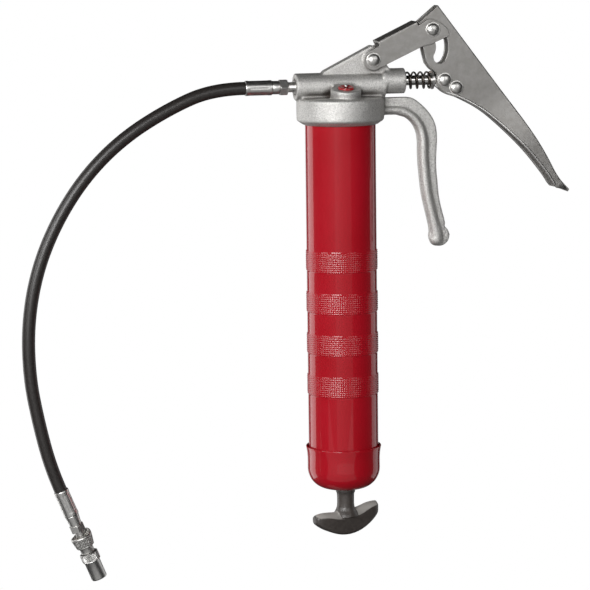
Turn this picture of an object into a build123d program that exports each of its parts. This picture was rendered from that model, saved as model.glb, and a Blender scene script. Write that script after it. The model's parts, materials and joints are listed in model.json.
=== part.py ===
"""Lever grease gun with a cartridge barrel, cast head and grip, dual-ratio linkage and a whip hose.

Millimetres. The barrel's axis is Z and the lever is on +X. The origin is on the barrel's axis, in the
middle of the plain stretch of barrel that a wall clip holds.
"""

import os
from math import cos, hypot, pi, radians, sin, tan

from build123d import *

# ---- barrel --------------------------------------------------------------------------------------
BARREL_R = 28.575  # 2 1/4 inch tube for a 14 oz cartridge
BARREL_WALL = 1.3
BARREL_IN_R = BARREL_R - BARREL_WALL
BARREL_TOP = 63.5
BARREL_FOOT = -229.0
BAND_TOP = -50.0  # upper edge of the highest rolled grip band
BAND_PITCH = 33.9
BAND_TALL = 17.0
BAND_COUNT = 4
BAND_PROUD = 0.5

# ---- barrel cap ----------------------------------------------------------------------------------
CAP_RIM = -212.0
CAP_FOOT = -247.5
CAP_R = 30.8
CAP_WALL = 1.2
CAP_CORNER = 17.5
CAP_FLOOR = CAP_FOOT + CAP_WALL
CAP_FLAT_R = 13.0  # the flat middle of the cap's end

# ---- head casting --------------------------------------------------------------------------------
BOWL_R = 35.4
BOWL_FOOT = 51.5
BOWL_TOP = 73.0
LEDGE = 65.5  # the barrel's gasket seats here
CEILING = 68.5
CHAMBER_R = 25.0
BODY_R = 10.9
BODY_Z = 82.3  # pump body and outlet axis
BODY_LEFT = -37.5
COLLAR_R = 10.3
COLLAR_LEFT = 34.4
COLLAR_RIGHT = 53.0
PUMP_Z = 85.2  # plunger axis
RIB_HALF = 5.5
PEDESTAL_LONG = 66.0  # block between the bowl and the pump body
PEDESTAL_WIDE = 17.0
GREASE_PORT_X = 2.0  # drilling from the grease chamber up to the pump bore
GREASE_PORT_R = 3.0
PIVOT_A = (26.0, 102.9)
PIVOT_B = (75.4, 126.3)
PIVOT_C = (85.7, PUMP_Z)
RIVET_D = (95.3, 78.7)
PIVOT_PLAY = 0.9  # room round pin A for the travel of the real four-bar

BOSS_R = 12.2
BOSS_TALL = 14.8
BOSS_LEAN = 12.0  # degrees that the vent boss leans towards -Y
BOSS = Plane(
    origin=(0, -18.5, BOWL_TOP - 6.0),
    x_dir=(1, 0, 0),
    z_dir=(0, -sin(radians(BOSS_LEAN)), cos(radians(BOSS_LEAN))),
)
VENT_R = 5.0

# ---- pump ----------------------------------------------------------------------------------------
SEAL_START, SEAL_END, SEAL_R = 38.0, 41.0, 6.0
VALVE_PORT_R = 2.4
PISTON_R = 4.0
RUN_FIT = 0.05
PISTON_END = 8.0
BORE_END = -15.0
SEAT_X = -17.0
CHECK_R = 5.5
SPRING_SEAT = 43.0
COUNTERBORE_R = 8.2
RETURN_COIL_R = 6.45  # of the return spring, to the middle of its wire
RETURN_WIRE_R = 0.75
WASHER_THICK = 1.2

# ---- linkage -------------------------------------------------------------------------------------
SHEET = 2.0  # pressed steel of the lever and the link
LEVER_HALF = 6.75
LINK_HALF = 9.05
FLARE_HALF = 10.0
PIN_R = 3.0
HEAD_R = 5.0
HEAD_TALL = 2.7
ROLLER_R = 5.2
SLOT_R = 5.25
LINK_END_R = 8.0
EYE_R = 7.5
EYE_HALF = 4.5
WASHER_X = 75.9

# ---- plunger -------------------------------------------------------------------------------------
ROD_R = 3.95
FOLLOWER_TOP = 58.0
FOLLOWER_R = 26.9
SEAT_FOOT = -244.0  # the main spring's seat plate lies on the rod guide
SEAT_TOP = -242.8
HANDLE_TOP = -249.2
HANDLE_NECK_R = 7.0
HANDLE_TURN = 22.0  # degrees that the T-handle is turned about the barrel's axis
HANDLE_HALF = 6.5  # half the depth of its arms
NECK_LONG = 18.0

# ---- whip hose and its fittings ------------------------------------------------------------------
HOSE_R = 5.3
WATERWAY_R = 1.5  # grease passage through every fitting
BARB_R = 2.5  # stem inside the hose and its ferrule
NIPPLE_R = 3.6  # thread into the coupler
SOCKET_R = 4.2  # thread out of the head
NECK_R = 5.4
HEAD_HEX_R = 6.9
FAR_HEX_R = 6.5
FERRULE_R = 6.1
FLUTE_COUNT = 8
FERRULE_COLLAR = 2.2  # plain length at each end of a ferrule
HOSE_ROUTE = [  # X, Z, from the head's ferrule to the coupler's ferrule
    (-78.0, BODY_Z),
    (-104.5, 82.3),
    (-141.0, 67.2),
    (-177.8, 45.0),
    (-208.0, 16.2),
    (-231.9, -19.3),
    (-248.6, -58.3),
    (-256.8, -100.3),
    (-256.7, -143.4),
    (-250.3, -181.0),
    (-241.4, -218.5),
    (-233.9, -237.1),
]

made = []


def keep(part, label):
    """Names a finished piece and writes its STEP file."""
    part.label = label
    export_step(part, f"parts/{label}.step")
    made.append(label)


def ring(inner, outer, low, high, axis_plane=Plane.XY):
    """A plain ring or tube along the plane's normal, between two distances from the plane."""
    with BuildPart() as piece:
        with BuildSketch(axis_plane.offset(low)):
            Circle(outer)
            if inner:
                Circle(inner, mode=Mode.SUBTRACT)
        extrude(amount=high - low)
    return piece.part


def coil(mean_r, wire_r, length, turns, base):
    """An open coil spring that stands on the base plane and is as long as given."""
    pitch = (length - 2 * wire_r) / turns
    with BuildPart() as piece:
        with BuildLine():
            start = base.offset(wire_r).origin
            path = Helix(pitch, length - 2 * wire_r, mean_r, center=start, direction=base.z_dir)
        with BuildSketch(Plane(origin=path @ 0, z_dir=path % 0)):
            Circle(wire_r)
        sweep(path=path, is_frenet=True)
    return piece.part


def pin_axis(point, y=0.0):
    """A plane on a cross pin's axis, facing along +Y."""
    return Plane(origin=(point[0], y, point[1]), x_dir=(1, 0, 0), z_dir=(0, 1, 0))


ALONG_X = Plane(origin=(0, 0, PUMP_Z), x_dir=(0, 1, 0), z_dir=(1, 0, 0))
OUTLET = Plane(origin=(0, 0, BODY_Z), x_dir=(0, 1, 0), z_dir=(-1, 0, 0))
os.makedirs("parts", exist_ok=True)


# ---- barrel, cap and gasket ----------------------------------------------------------------------
with BuildPart() as barrel_tube:
    with BuildSketch(Plane.XY.offset(BARREL_FOOT)):
        Circle(BARREL_R)
    extrude(amount=BARREL_TOP - BARREL_FOOT)
    for band in range(BAND_COUNT):
        band_top = BAND_TOP - band * BAND_PITCH
        with BuildSketch(Plane.XY.offset(band_top - BAND_TALL)):
            Circle(BARREL_R + BAND_PROUD)
        extrude(amount=BAND_TALL)
    with BuildSketch(Plane.XY.offset(BARREL_FOOT)):
        Circle(BARREL_IN_R)
    extrude(amount=BARREL_TOP - BARREL_FOOT, mode=Mode.SUBTRACT)
keep(barrel_tube.part, "barrel_tube")

keep(ring(BARREL_IN_R - 2.0, BARREL_R, BARREL_TOP, LEDGE), "barrel_gasket")

with BuildPart() as barrel_cap:
    with BuildSketch(Plane.XZ):
        with BuildLine():
            Line((HANDLE_NECK_R + 0.6, CAP_FOOT), (CAP_FLAT_R, CAP_FOOT))
            Spline(
                (CAP_FLAT_R, CAP_FOOT),
                (CAP_R - 5.4, CAP_FOOT + 6.0),
                (CAP_R - 1.1, CAP_FOOT + CAP_CORNER),
                tangents=((1, 0), (0.06, 1)),
            )
            Polyline(
                (CAP_R - 1.1, CAP_FOOT + CAP_CORNER),
                (CAP_R, CAP_RIM - 1.0),
                (CAP_R, CAP_RIM),
                (CAP_R - CAP_WALL, CAP_RIM),
                (BARREL_R, BARREL_FOOT + 4.0),
                (BARREL_R, BARREL_FOOT),
                (BARREL_IN_R - 0.5, BARREL_FOOT),
            )
            Spline(
                (BARREL_IN_R - 0.5, BARREL_FOOT),
                (CAP_R - 7.4, CAP_FLOOR + 5.4),
                (CAP_FLAT_R - 0.7, CAP_FLOOR),
                tangents=((0, -1), (-1, 0)),
            )
            Polyline(
                (CAP_FLAT_R - 0.7, CAP_FLOOR),
                (HANDLE_NECK_R + 0.6, CAP_FLOOR),
                (HANDLE_NECK_R + 0.6, CAP_FOOT),
            )
        make_face()
    revolve(axis=Axis.Z)
keep(barrel_cap.part, "barrel_cap")

with BuildPart() as rod_guide:
    with BuildSketch(Plane.XZ):
        with BuildLine():
            Polyline(
                (ROD_R + RUN_FIT, CAP_FOOT - 0.8),
                (HANDLE_NECK_R + 0.6, CAP_FOOT - 0.8),
                (HANDLE_NECK_R + 0.6, CAP_FLOOR),
                (HANDLE_NECK_R + 3.0, CAP_FLOOR),
                (HANDLE_NECK_R + 3.0, SEAT_FOOT),
                (ROD_R + RUN_FIT, SEAT_FOOT),
                close=True,
            )
        make_face()
    revolve(axis=Axis.Z)
keep(rod_guide.part, "rod_guide")


# ---- head casting: bowl, pump body, rib, filler boss and grip in one piece -----------------------
GRIP_OUTER = [
    (58.8, 71.3),
    (67.4, 65.5),
    (74.6, 57.6),
    (79.0, 48.5),
    (80.2, 38.0),
    (79.3, 18.0),
    (80.6, 0.0),
    (83.2, -18.0),
    (86.0, -33.0),
    (90.6, -41.5),
]
GRIP_INNER = [
    (73.8, -44.5),
    (73.4, -37.0),
    (70.9, -24.6),
    (67.3, -8.6),
    (65.0, 10.8),
    (64.0, 27.5),
    (63.6, 39.9),
    (60.8, 48.0),
    (54.5, 54.9),
    (46.0, 57.9),
]
GRIP_EAR = (81.6, -42.0)
GRIP_EAR_R = 8.6
GRIP_WEB_HALF = 2.8
GRIP_BEAD = [  # share of the inner edge from the hand end, bead's half width and half depth
    (0.0, 5.6, 5.8),
    (0.12, 4.5, 5.8),
    (0.7, 4.4, 5.8),
    (1.0, 3.7, 5.0),
]
GRIP_END_R = 5.9
BEAD_SECTIONS = 14
RIM_BEND = 2.5  # radius of the bowl's top edge


def grip_outline():
    """The closed outline of the grip between its inner and outer edges."""
    Spline(*GRIP_INNER)
    Polyline(GRIP_INNER[-1], (30.0, 57.9), (30.0, BOWL_TOP - 1.0), (50.0, BOWL_TOP - 1.0))
    Spline((50.0, BOWL_TOP - 1.0), *GRIP_OUTER, tangents=((1, 0), (0.6, -1)))
    Line(GRIP_OUTER[-1], GRIP_INNER[0])


def bead_section(share):
    """Plane, half width and half depth of the inner bead, at a share of the inner edge."""
    for (start, wide, deep), (stop, next_wide, next_deep) in zip(GRIP_BEAD, GRIP_BEAD[1:]):
        if share <= stop:
            part = (share - start) / (stop - start)
            wide += (next_wide - wide) * part
            deep += (next_deep - deep) * part
            break
    edge = Edge.make_spline([Vector(x, 0, z) for x, z in GRIP_INNER])
    way = edge.tangent_at(share)
    centre = edge.position_at(share) + Vector(way.Z, 0, -way.X) * wide
    return Plane(origin=centre, x_dir=(0, 1, 0), z_dir=way), wide, deep


with BuildPart() as head_casting:
    # bowl with a rolled top edge
    with BuildSketch(Plane.XZ):
        with BuildLine():
            Polyline(
                (0, BOWL_FOOT),
                (BARREL_R + 1.4, BOWL_FOOT),
                (BOWL_R - 0.4, BOWL_FOOT + 3.4),
                (BOWL_R, BOWL_FOOT + 5.0),
                (BOWL_R, BOWL_TOP - RIM_BEND),
            )
            RadiusArc((BOWL_R, BOWL_TOP - RIM_BEND), (BOWL_R - RIM_BEND, BOWL_TOP), -RIM_BEND)
            Polyline((BOWL_R - RIM_BEND, BOWL_TOP), (0, BOWL_TOP + 1.0), (0, BOWL_FOOT))
        make_face()
    revolve(axis=Axis.Z)
    # pump body, collar and the pedestal that carries them
    with BuildSketch(Plane(origin=(BODY_LEFT, 0, BODY_Z), x_dir=(0, 1, 0), z_dir=(1, 0, 0))):
        Circle(BODY_R)
    extrude(amount=COLLAR_LEFT - BODY_LEFT + 2.0)
    with BuildSketch(ALONG_X.offset(COLLAR_LEFT)):
        Circle(COLLAR_R)
    extrude(amount=COLLAR_RIGHT - COLLAR_LEFT)
    with BuildSketch(Plane.XY.offset(BOWL_TOP - 6.0)):
        Rectangle(PEDESTAL_LONG, PEDESTAL_WIDE)
    extrude(amount=BODY_Z - BOWL_TOP + 6.0)
    # rib that carries pivot A
    with BuildSketch(Plane.XZ):
        with BuildLine():
            Polyline(
                (-17.0, 90.5),
                (-14.0, 94.6),
                (25.4, 114.6),
                (29.5, 113.6),
                (36.0, 107.0),
                (37.5, 99.0),
                (43.0, 92.0),
                (43.0, 84.0),
                (-17.0, 84.0),
                close=True,
            )
        make_face()
    extrude(amount=RIB_HALF, both=True)
    with BuildSketch(pin_axis(PIVOT_A, -LEVER_HALF)):
        Circle(LINK_END_R)
    extrude(amount=2 * LEVER_HALF)
    # boss of the air vent
    with BuildSketch(BOSS):
        Circle(BOSS_R)
    extrude(amount=BOSS_TALL)
    # grip: flat web, round inner bead and ball end
    with BuildSketch(Plane.XZ):
        with BuildLine():
            grip_outline()
        make_face()
        with Locations(GRIP_EAR):
            Circle(GRIP_EAR_R)
    extrude(amount=GRIP_WEB_HALF, both=True)
    for step in range(BEAD_SECTIONS):
        bead_plane, bead_wide, bead_deep = bead_section(step / (BEAD_SECTIONS - 1))
        with BuildSketch(bead_plane):
            Ellipse(bead_deep, bead_wide)
    loft()
    with BuildSketch(bead_plane):
        Ellipse(bead_deep, bead_wide)
    extrude(amount=GRIP_INNER[-1][0] - BOWL_R + 4.0)
    with Locations(bead_section(0.0)[0].origin):
        Sphere(GRIP_END_R)
    # threaded bore for the barrel, grease chamber and drillings
    for radius, low, high in ((BARREL_R, BOWL_FOOT, LEDGE), (CHAMBER_R, LEDGE, CEILING)):
        with BuildSketch(Plane.XY.offset(low)):
            Circle(radius)
        extrude(amount=high - low, mode=Mode.SUBTRACT)
    for start, stop, radius in (
        (BORE_END, COLLAR_RIGHT, PISTON_R + RUN_FIT),
        (SEAL_START, SEAL_END, SEAL_R),
        (SPRING_SEAT, COLLAR_RIGHT, COUNTERBORE_R),
    ):
        with BuildSketch(ALONG_X.offset(start)):
            Circle(radius)
        extrude(amount=stop - start, mode=Mode.SUBTRACT)
    for start, stop, radius in (
        (-SEAT_X, -BODY_LEFT, CHECK_R),
        (-BORE_END - 3.0, -SEAT_X, VALVE_PORT_R),
    ):
        with BuildSketch(OUTLET.offset(start)):
            Circle(radius)
        extrude(amount=stop - start, mode=Mode.SUBTRACT)
    with BuildSketch(Plane.XY.offset(CEILING)):
        with Locations((GREASE_PORT_X, 0)):
            Circle(GREASE_PORT_R)
    extrude(amount=PUMP_Z - CEILING, mode=Mode.SUBTRACT)
    with BuildSketch(BOSS.offset(-4.0)):
        Circle(VENT_R)
    extrude(amount=30.0, mode=Mode.SUBTRACT)
    with BuildSketch(pin_axis(PIVOT_A, -10.0)):
        Circle(PIN_R + PIVOT_PLAY)
    extrude(amount=20.0, mode=Mode.SUBTRACT)
keep(head_casting.part, "head_casting")


# ---- cross rivets and the shift roller -----------------------------------------------------------
def rivet(point, half_span):
    """A round rivet with a domed head on each outer face."""
    dome = (HEAD_R**2 + HEAD_TALL**2) / (2 * HEAD_TALL)
    with BuildPart() as piece:
        with BuildSketch(pin_axis(point, -half_span)):
            Circle(PIN_R)
        extrude(amount=2 * half_span)
        with BuildSketch(Plane(origin=(point[0], 0, point[1]), x_dir=(1, 0, 0), z_dir=(0, 0, 1))):
            with BuildLine():
                Line((0, half_span), (HEAD_R, half_span))
                RadiusArc((HEAD_R, half_span), (0, half_span + HEAD_TALL), -dome)
                Line((0, half_span + HEAD_TALL), (0, half_span))
            make_face()
            mirror(about=Plane.XZ)
        revolve(axis=Axis((point[0], 0, point[1]), (0, 1, 0)))
    return piece.part


keep(rivet(PIVOT_A, LINK_HALF), "rivet_rib")
keep(rivet(PIVOT_B, LINK_HALF), "rivet_shift")
keep(rivet(PIVOT_C, LEVER_HALF), "rivet_plunger")
keep(rivet(RIVET_D, LEVER_HALF), "rivet_spacer")


def cross_ring(point, inner, outer, half_span):
    """A plain ring on a cross pin."""
    with BuildPart() as piece:
        with BuildSketch(pin_axis(point, -half_span)):
            Circle(outer)
            Circle(inner, mode=Mode.SUBTRACT)
        extrude(amount=2 * half_span)
    return piece.part


keep(cross_ring(PIVOT_B, PIN_R, ROLLER_R, LEVER_HALF), "shift_roller")
keep(cross_ring(RIVET_D, PIN_R, PIN_R + 0.6, LEVER_HALF - SHEET), "lever_spacer")


# ---- pump plunger, its seal and its return spring ------------------------------------------------
with BuildPart() as pump_plunger:
    with BuildSketch(ALONG_X.offset(PISTON_END)):
        Circle(PISTON_R)
    extrude(amount=PIVOT_C[0] - EYE_R + 1.0 - PISTON_END)
    with BuildSketch(ALONG_X.offset(WASHER_X + WASHER_THICK)):
        Circle(LEVER_HALF - SHEET - 0.15)
    extrude(amount=WASHER_THICK)
    with BuildSketch(pin_axis(PIVOT_C, -EYE_HALF)):
        Circle(EYE_R)
    extrude(amount=2 * EYE_HALF)
    with BuildSketch(pin_axis(PIVOT_C, -10.0)):
        Circle(PIN_R + RUN_FIT)
    extrude(amount=20.0, mode=Mode.SUBTRACT)
    chamfer(pump_plunger.edges().sort_by(Axis.X)[0], length=0.6)
keep(pump_plunger.part, "pump_plunger")

keep(ring(PISTON_R + RUN_FIT, SEAL_R, SEAL_START, SEAL_END, ALONG_X), "plunger_seal")
keep(
    ring(PISTON_R + 0.5, COUNTERBORE_R - 0.2, SPRING_SEAT, SPRING_SEAT + WASHER_THICK, ALONG_X),
    "gland_washer",
)
keep(ring(PISTON_R, 7.6, WASHER_X, WASHER_X + WASHER_THICK, ALONG_X), "spring_washer")
RETURN_LONG = WASHER_X - SPRING_SEAT - WASHER_THICK
keep(
    coil(RETURN_COIL_R, RETURN_WIRE_R, RETURN_LONG, 6, ALONG_X.offset(SPRING_SEAT + WASHER_THICK)),
    "return_spring",
)


# ---- lever: a channel whose spine faces away from the barrel -------------------------------------
SPINE_TOP = (80.6, 145.4)
SPINE_END = (138.5, 69.1)
SPINE_TAIL = [(153.8, 48.5), (173.5, 17.4), (183.0, 1.2)]
LEVER_TIP = (192.2, -7.2)
LEVER_FRONT = [
    (84.5, 75.8),
    (78.9, 80.9),
    (78.9, 91.1),
    (74.8, 94.3),
    (71.4, 98.6),
    (69.8, 104.0),
    (67.9, 112.6),
    (64.2, 131.8),
]
LEVER_BELLY = [(179.0, -5.4), (171.0, 7.1), (151.4, 30.4), (122.3, 56.6), (101.0, 69.3), (84.5, 75.8)]
HANDLE = Plane(origin=(90.0, 0, 133.2), x_dir=(0.602, 0, -0.798), z_dir=(0.798, 0, 0.602))
FLARE_START = 68.0
FLARE_END = 125.0
HANDLE_END = 174.5
SLOT_MIDDLE = (83.6, 112.6)  # the slot for the shift roller starts at pivot B
SLOT_FOOT = (81.5, 103.8)
SPINE_BEND = 1.5  # outer radius where the cheeks are bent from the spine


def lever_side(inset):
    """The lever's outline from the side. An inset moves the spine in and the open edges out."""
    grow = 30.0 * (inset > 0)
    slip = (-inset * 0.798, -inset * 0.602)
    top = (SPINE_TOP[0] + slip[0], SPINE_TOP[1] + slip[1])
    end = (SPINE_END[0] + slip[0], SPINE_END[1] + slip[1])
    tail = [(x - inset * 0.84, z - inset * 0.54) for x, z in SPINE_TAIL]
    tip = (LEVER_TIP[0] - inset * 0.62, LEVER_TIP[1] - inset * 0.78)
    with BuildSketch(Plane.XZ) as side:
        with BuildLine():
            Line(top, end)
            Spline(end, *tail, tip, tangents=((0.604, -0.797), (0.85, -0.53)))
            if grow:
                Polyline(tip, (tip[0] + 6.0, tip[1] - grow), (60.0, 40.0), (40.0, 100.0))
                Polyline((40.0, 100.0), (top[0] - grow, top[1] + grow * 0.5), (top[0] + 4.0, top[1] + grow))
                Line((top[0] + 4.0, top[1] + grow), top)
            else:
                Polyline(tip, (190.6, -9.4), (184.0, -6.6), LEVER_BELLY[0])
                Spline(*LEVER_BELLY, tangents=((-0.5, 0.86), (-0.8, 0.6)))
                Polyline(*LEVER_FRONT, top)
        make_face()
    return side.sketch


def lever_plan(inset):
    """The lever's outline square to its spine: narrow at the linkage, flared to the hand."""
    head, hand = LEVER_HALF - inset, FLARE_HALF - inset
    with BuildSketch(HANDLE) as plan:
        with BuildLine():
            Polyline((FLARE_START, head), (-60.0, head), (-60.0, -head), (FLARE_START, -head))
            for side in (1, -1):
                Spline(
                    (FLARE_START, side * head),
                    ((FLARE_START + FLARE_END) / 2, side * (head + hand) / 2),
                    (FLARE_END, side * hand),
                    tangents=((1, 0), (1, 0)),
                )
                Line((FLARE_END, side * hand), (HANDLE_END - 12.0, side * hand))
                RadiusArc(
                    (HANDLE_END - 12.0, side * hand),
                    (HANDLE_END, side * (hand - 6.0)),
                    side * 13.0,
                )
            Line((HANDLE_END, hand - 6.0), (HANDLE_END, 6.0 - hand))
        make_face()
    return plan.sketch


def spine_edges(channel):
    """The two long edges along the spine, short of the hand end."""
    spine = [face for face in channel.faces() if face.normal_at(face.center()).dot(HANDLE.z_dir) > 0.75]
    edges = [edge for face in spine for edge in face.edges()]
    return [
        edge
        for edge in edges
        if abs((edge @ 1 - edge @ 0).Y) < 0.6 * edge.length
        and HANDLE.to_local_coords(edge.center()).X < HANDLE_END - 14.0
    ]


with BuildPart() as lever_hollow:
    extrude(lever_side(SHEET), amount=20.0, both=True)
    extrude(lever_plan(SHEET), amount=120.0, both=True, mode=Mode.INTERSECT)

with BuildPart() as lever:
    extrude(lever_side(0.0), amount=20.0, both=True)
    extrude(lever_plan(0.0), amount=120.0, both=True, mode=Mode.INTERSECT)
    fillet(spine_edges(lever), radius=SPINE_BEND)
    add(lever_hollow.part, mode=Mode.SUBTRACT)
    shift_arc = Edge.make_three_point_arc(PIVOT_B, SLOT_MIDDLE, SLOT_FOOT)
    with BuildSketch(Plane.XZ):
        SlotArc(shift_arc, height=2 * SLOT_R)
        with Locations(PIVOT_C, RIVET_D):
            Circle(PIN_R)
    extrude(amount=20.0, both=True, mode=Mode.SUBTRACT)
keep(lever.part, "lever")


# ---- link: a channel from the rib to the lever's slot --------------------------------------------
LINK_LONG = hypot(PIVOT_B[0] - PIVOT_A[0], PIVOT_B[1] - PIVOT_A[1])
LINK_COS = (PIVOT_B[0] - PIVOT_A[0]) / LINK_LONG
LINK_SIN = (PIVOT_B[1] - PIVOT_A[1]) / LINK_LONG
LINK = Plane(origin=(PIVOT_A[0], 0, PIVOT_A[1]), x_dir=(LINK_COS, 0, LINK_SIN), z_dir=(0, -1, 0))
WEB_START = 9.5
WEB_END = 45.0
WEB_TOP = 12.2

with BuildPart() as link:
    with BuildSketch(LINK):
        with BuildLine():
            RadiusArc((0, -LINK_END_R), (0, LINK_END_R), LINK_END_R)
            Polyline((0, -LINK_END_R), (42.0, -8.4), (47.5, -10.0), (64.6, -10.6), (65.4, -7.6))
            Spline(
                (65.4, -7.6),
                (62.6, 1.2),
                (LINK_LONG, 8.9),
                (46.0, 8.2),
                tangents=((0.1, 1), (-1, -0.06)),
            )
            Line((46.0, 8.2), (0, LINK_END_R))
        make_face()
        with Locations(((WEB_START + WEB_END) / 2, (WEB_TOP + 7.0) / 2)):
            Rectangle(WEB_END - WEB_START, WEB_TOP - 7.0)
    extrude(amount=LINK_HALF, both=True)
    bends = []
    for edge in link.edges():
        middle = LINK.to_local_coords(edge.center())
        if middle.Y > WEB_TOP - 0.1 and abs(middle.Z) > 1.0:
            bends.append(edge)
    fillet(bends, radius=SHEET - 0.1)
    with BuildSketch(LINK):
        with Locations((30.0, (WEB_TOP - SHEET - 20.0) / 2)):
            Rectangle(90.0, WEB_TOP - SHEET + 20.0)
    extrude(amount=LINK_HALF - SHEET, both=True, mode=Mode.SUBTRACT)
    with BuildSketch(LINK):
        with Locations((0, 0), (LINK_LONG, 0)):
            Circle(PIN_R)
    extrude(amount=20.0, both=True, mode=Mode.SUBTRACT)
keep(link.part, "link")


# ---- follower, main spring and plunger rod -------------------------------------------------------
def turned(points, around=Axis.Z):
    """A turned piece from its half profile: X is the radius and Z the height."""
    with BuildPart() as piece:
        with BuildSketch(Plane.XZ):
            with BuildLine():
                Polyline(*points, close=True)
            make_face()
        revolve(axis=around)
    return piece.part


HUB_R = 7.0
WEB_LOW = 51.0
WEB_HIGH = 54.0
keep(
    turned(
        [
            (HUB_R, WEB_LOW),
            (FOLLOWER_R - 3.0, WEB_LOW),
            (FOLLOWER_R - 2.2, WEB_LOW - 7.0),
            (FOLLOWER_R - 0.4, WEB_LOW - 7.0),
            (FOLLOWER_R, WEB_LOW + 1.0),
            (FOLLOWER_R - 0.6, FOLLOWER_TOP - 1.0),
            (FOLLOWER_R - 2.0, FOLLOWER_TOP - 0.6),
            (FOLLOWER_R - 4.0, WEB_HIGH),
            (HUB_R, WEB_HIGH),
        ]
    ),
    "follower_seal",
)
keep(ring(HUB_R, 20.0, WEB_HIGH, WEB_HIGH + 1.2), "follower_plate")
keep(ring(HUB_R, 21.0, WEB_LOW - 1.2, WEB_LOW), "follower_backplate")
keep(
    turned(
        [
            (ROD_R + RUN_FIT, WEB_LOW - 6.0),
            (HUB_R + 2.0, WEB_LOW - 6.0),
            (HUB_R + 2.0, WEB_LOW - 1.2),
            (HUB_R, WEB_LOW - 1.2),
            (HUB_R, WEB_HIGH + 2.4),
            (ROD_R + RUN_FIT, WEB_HIGH + 2.4),
        ]
    ),
    "follower_hub",
)
keep(ring(ROD_R, 6.0, WEB_HIGH + 2.7, WEB_HIGH + 4.7), "rod_clip")
keep(ring(ROD_R + 0.6, 18.0, SEAT_FOOT, SEAT_TOP), "spring_seat")
MAIN_LONG = WEB_LOW - 1.2 - SEAT_TOP
keep(coil(16.6, 1.1, MAIN_LONG, 15, Plane.XY.offset(SEAT_TOP)), "main_spring")

ROD_FOOT = -262.0
with BuildPart() as plunger_rod:
    with BuildSketch(Plane.XY.offset(ROD_FOOT)):
        Circle(ROD_R)
    extrude(amount=WEB_HIGH + 5.4 - ROD_FOOT)
    chamfer(plunger_rod.faces().sort_by(Axis.Z)[-1].edges(), length=0.6)
keep(plunger_rod.part, "plunger_rod")


# ---- T-handle ------------------------------------------------------------------------------------
HANDLE_FACE = Plane(
    origin=(0, 0, 0),
    x_dir=(cos(radians(HANDLE_TURN)), sin(radians(HANDLE_TURN)), 0),
    z_dir=(sin(radians(HANDLE_TURN)), -cos(radians(HANDLE_TURN)), 0),
)
with BuildPart() as t_handle:
    with BuildSketch(HANDLE_FACE):
        with BuildLine():
            Spline(
                (0.0, -266.5),
                (14.0, -264.6),
                (24.0, -261.8),
                (30.6, -264.4),
                (31.4, -269.6),
                (24.0, -277.6),
                (12.0, -284.0),
                (0.0, -286.6),
                (-12.0, -284.0),
                (-24.0, -277.6),
                (-31.4, -269.6),
                (-30.6, -264.4),
                (-24.0, -261.8),
                (-14.0, -264.6),
                periodic=True,
            )
        make_face()
    extrude(amount=HANDLE_HALF, both=True)
    fillet(t_handle.edges(), radius=3.2)
    with BuildSketch(Plane.XY.offset(HANDLE_TOP - NECK_LONG)):
        Circle(HANDLE_NECK_R)
    extrude(amount=NECK_LONG)
    with BuildSketch(Plane.XY.offset(HANDLE_TOP - 2.0)):
        Circle(HANDLE_NECK_R + 0.6)
    extrude(amount=2.0)
    with BuildSketch(Plane.XY.offset(HANDLE_TOP)):
        Circle(ROD_R)
    extrude(amount=ROD_FOOT - HANDLE_TOP, mode=Mode.SUBTRACT)
keep(t_handle.part, "t_handle")


# ---- air vent on the boss ------------------------------------------------------------------------
def turned_on(plane, points):
    """A turned piece about a plane's normal: points are (radius, distance along the normal)."""
    side = Plane(origin=plane.origin, x_dir=plane.x_dir, z_dir=plane.x_dir.cross(plane.z_dir))
    with BuildPart() as piece:
        with BuildSketch(side):
            with BuildLine():
                Polyline(*points, close=True)
            make_face()
        revolve(axis=Axis(plane.origin, plane.z_dir))
    return piece.part


VENT = BOSS.offset(BOSS_TALL)
VENT_FLANGE_R = 6.4
VENT_TUBE_LONG = 12.0
VENT_WELL = -6.5  # floor of the well that holds the vent's spring
BUTTON_R = 1.5
BUTTON_FLANGE = -1.8  # underside of the button's hidden flange
keep(
    turned_on(
        VENT,
        [
            (BUTTON_R + 0.1, -VENT_TUBE_LONG),
            (VENT_R, -VENT_TUBE_LONG),
            (VENT_R, 0.0),
            (VENT_FLANGE_R, 0.0),
            (VENT_FLANGE_R, 0.9),
            (VENT_FLANGE_R - 0.6, 1.6),
            (VENT_FLANGE_R - 1.6, 1.7),
            (BUTTON_R + 0.6, 0.7),
            (BUTTON_R + 0.6, -0.5),
            (VENT_R - 1.1, -0.5),
            (VENT_R - 1.1, VENT_WELL),
            (BUTTON_R + 0.1, VENT_WELL),
        ],
    ),
    "vent_body",
)
keep(
    turned_on(
        VENT,
        [
            (0.0, -VENT_TUBE_LONG - 1.0),
            (BUTTON_R, -VENT_TUBE_LONG - 1.0),
            (BUTTON_R, BUTTON_FLANGE),
            (VENT_R - 1.6, BUTTON_FLANGE),
            (VENT_R - 1.6, BUTTON_FLANGE + 1.0),
            (BUTTON_R, BUTTON_FLANGE + 1.0),
            (BUTTON_R, 2.4),
            (BUTTON_R - 0.4, 3.1),
            (0.0, 3.4),
        ],
    ),
    "vent_button",
)
keep(coil(2.6, 0.35, BUTTON_FLANGE - VENT_WELL, 4, VENT.offset(VENT_WELL)), "vent_spring")


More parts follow.
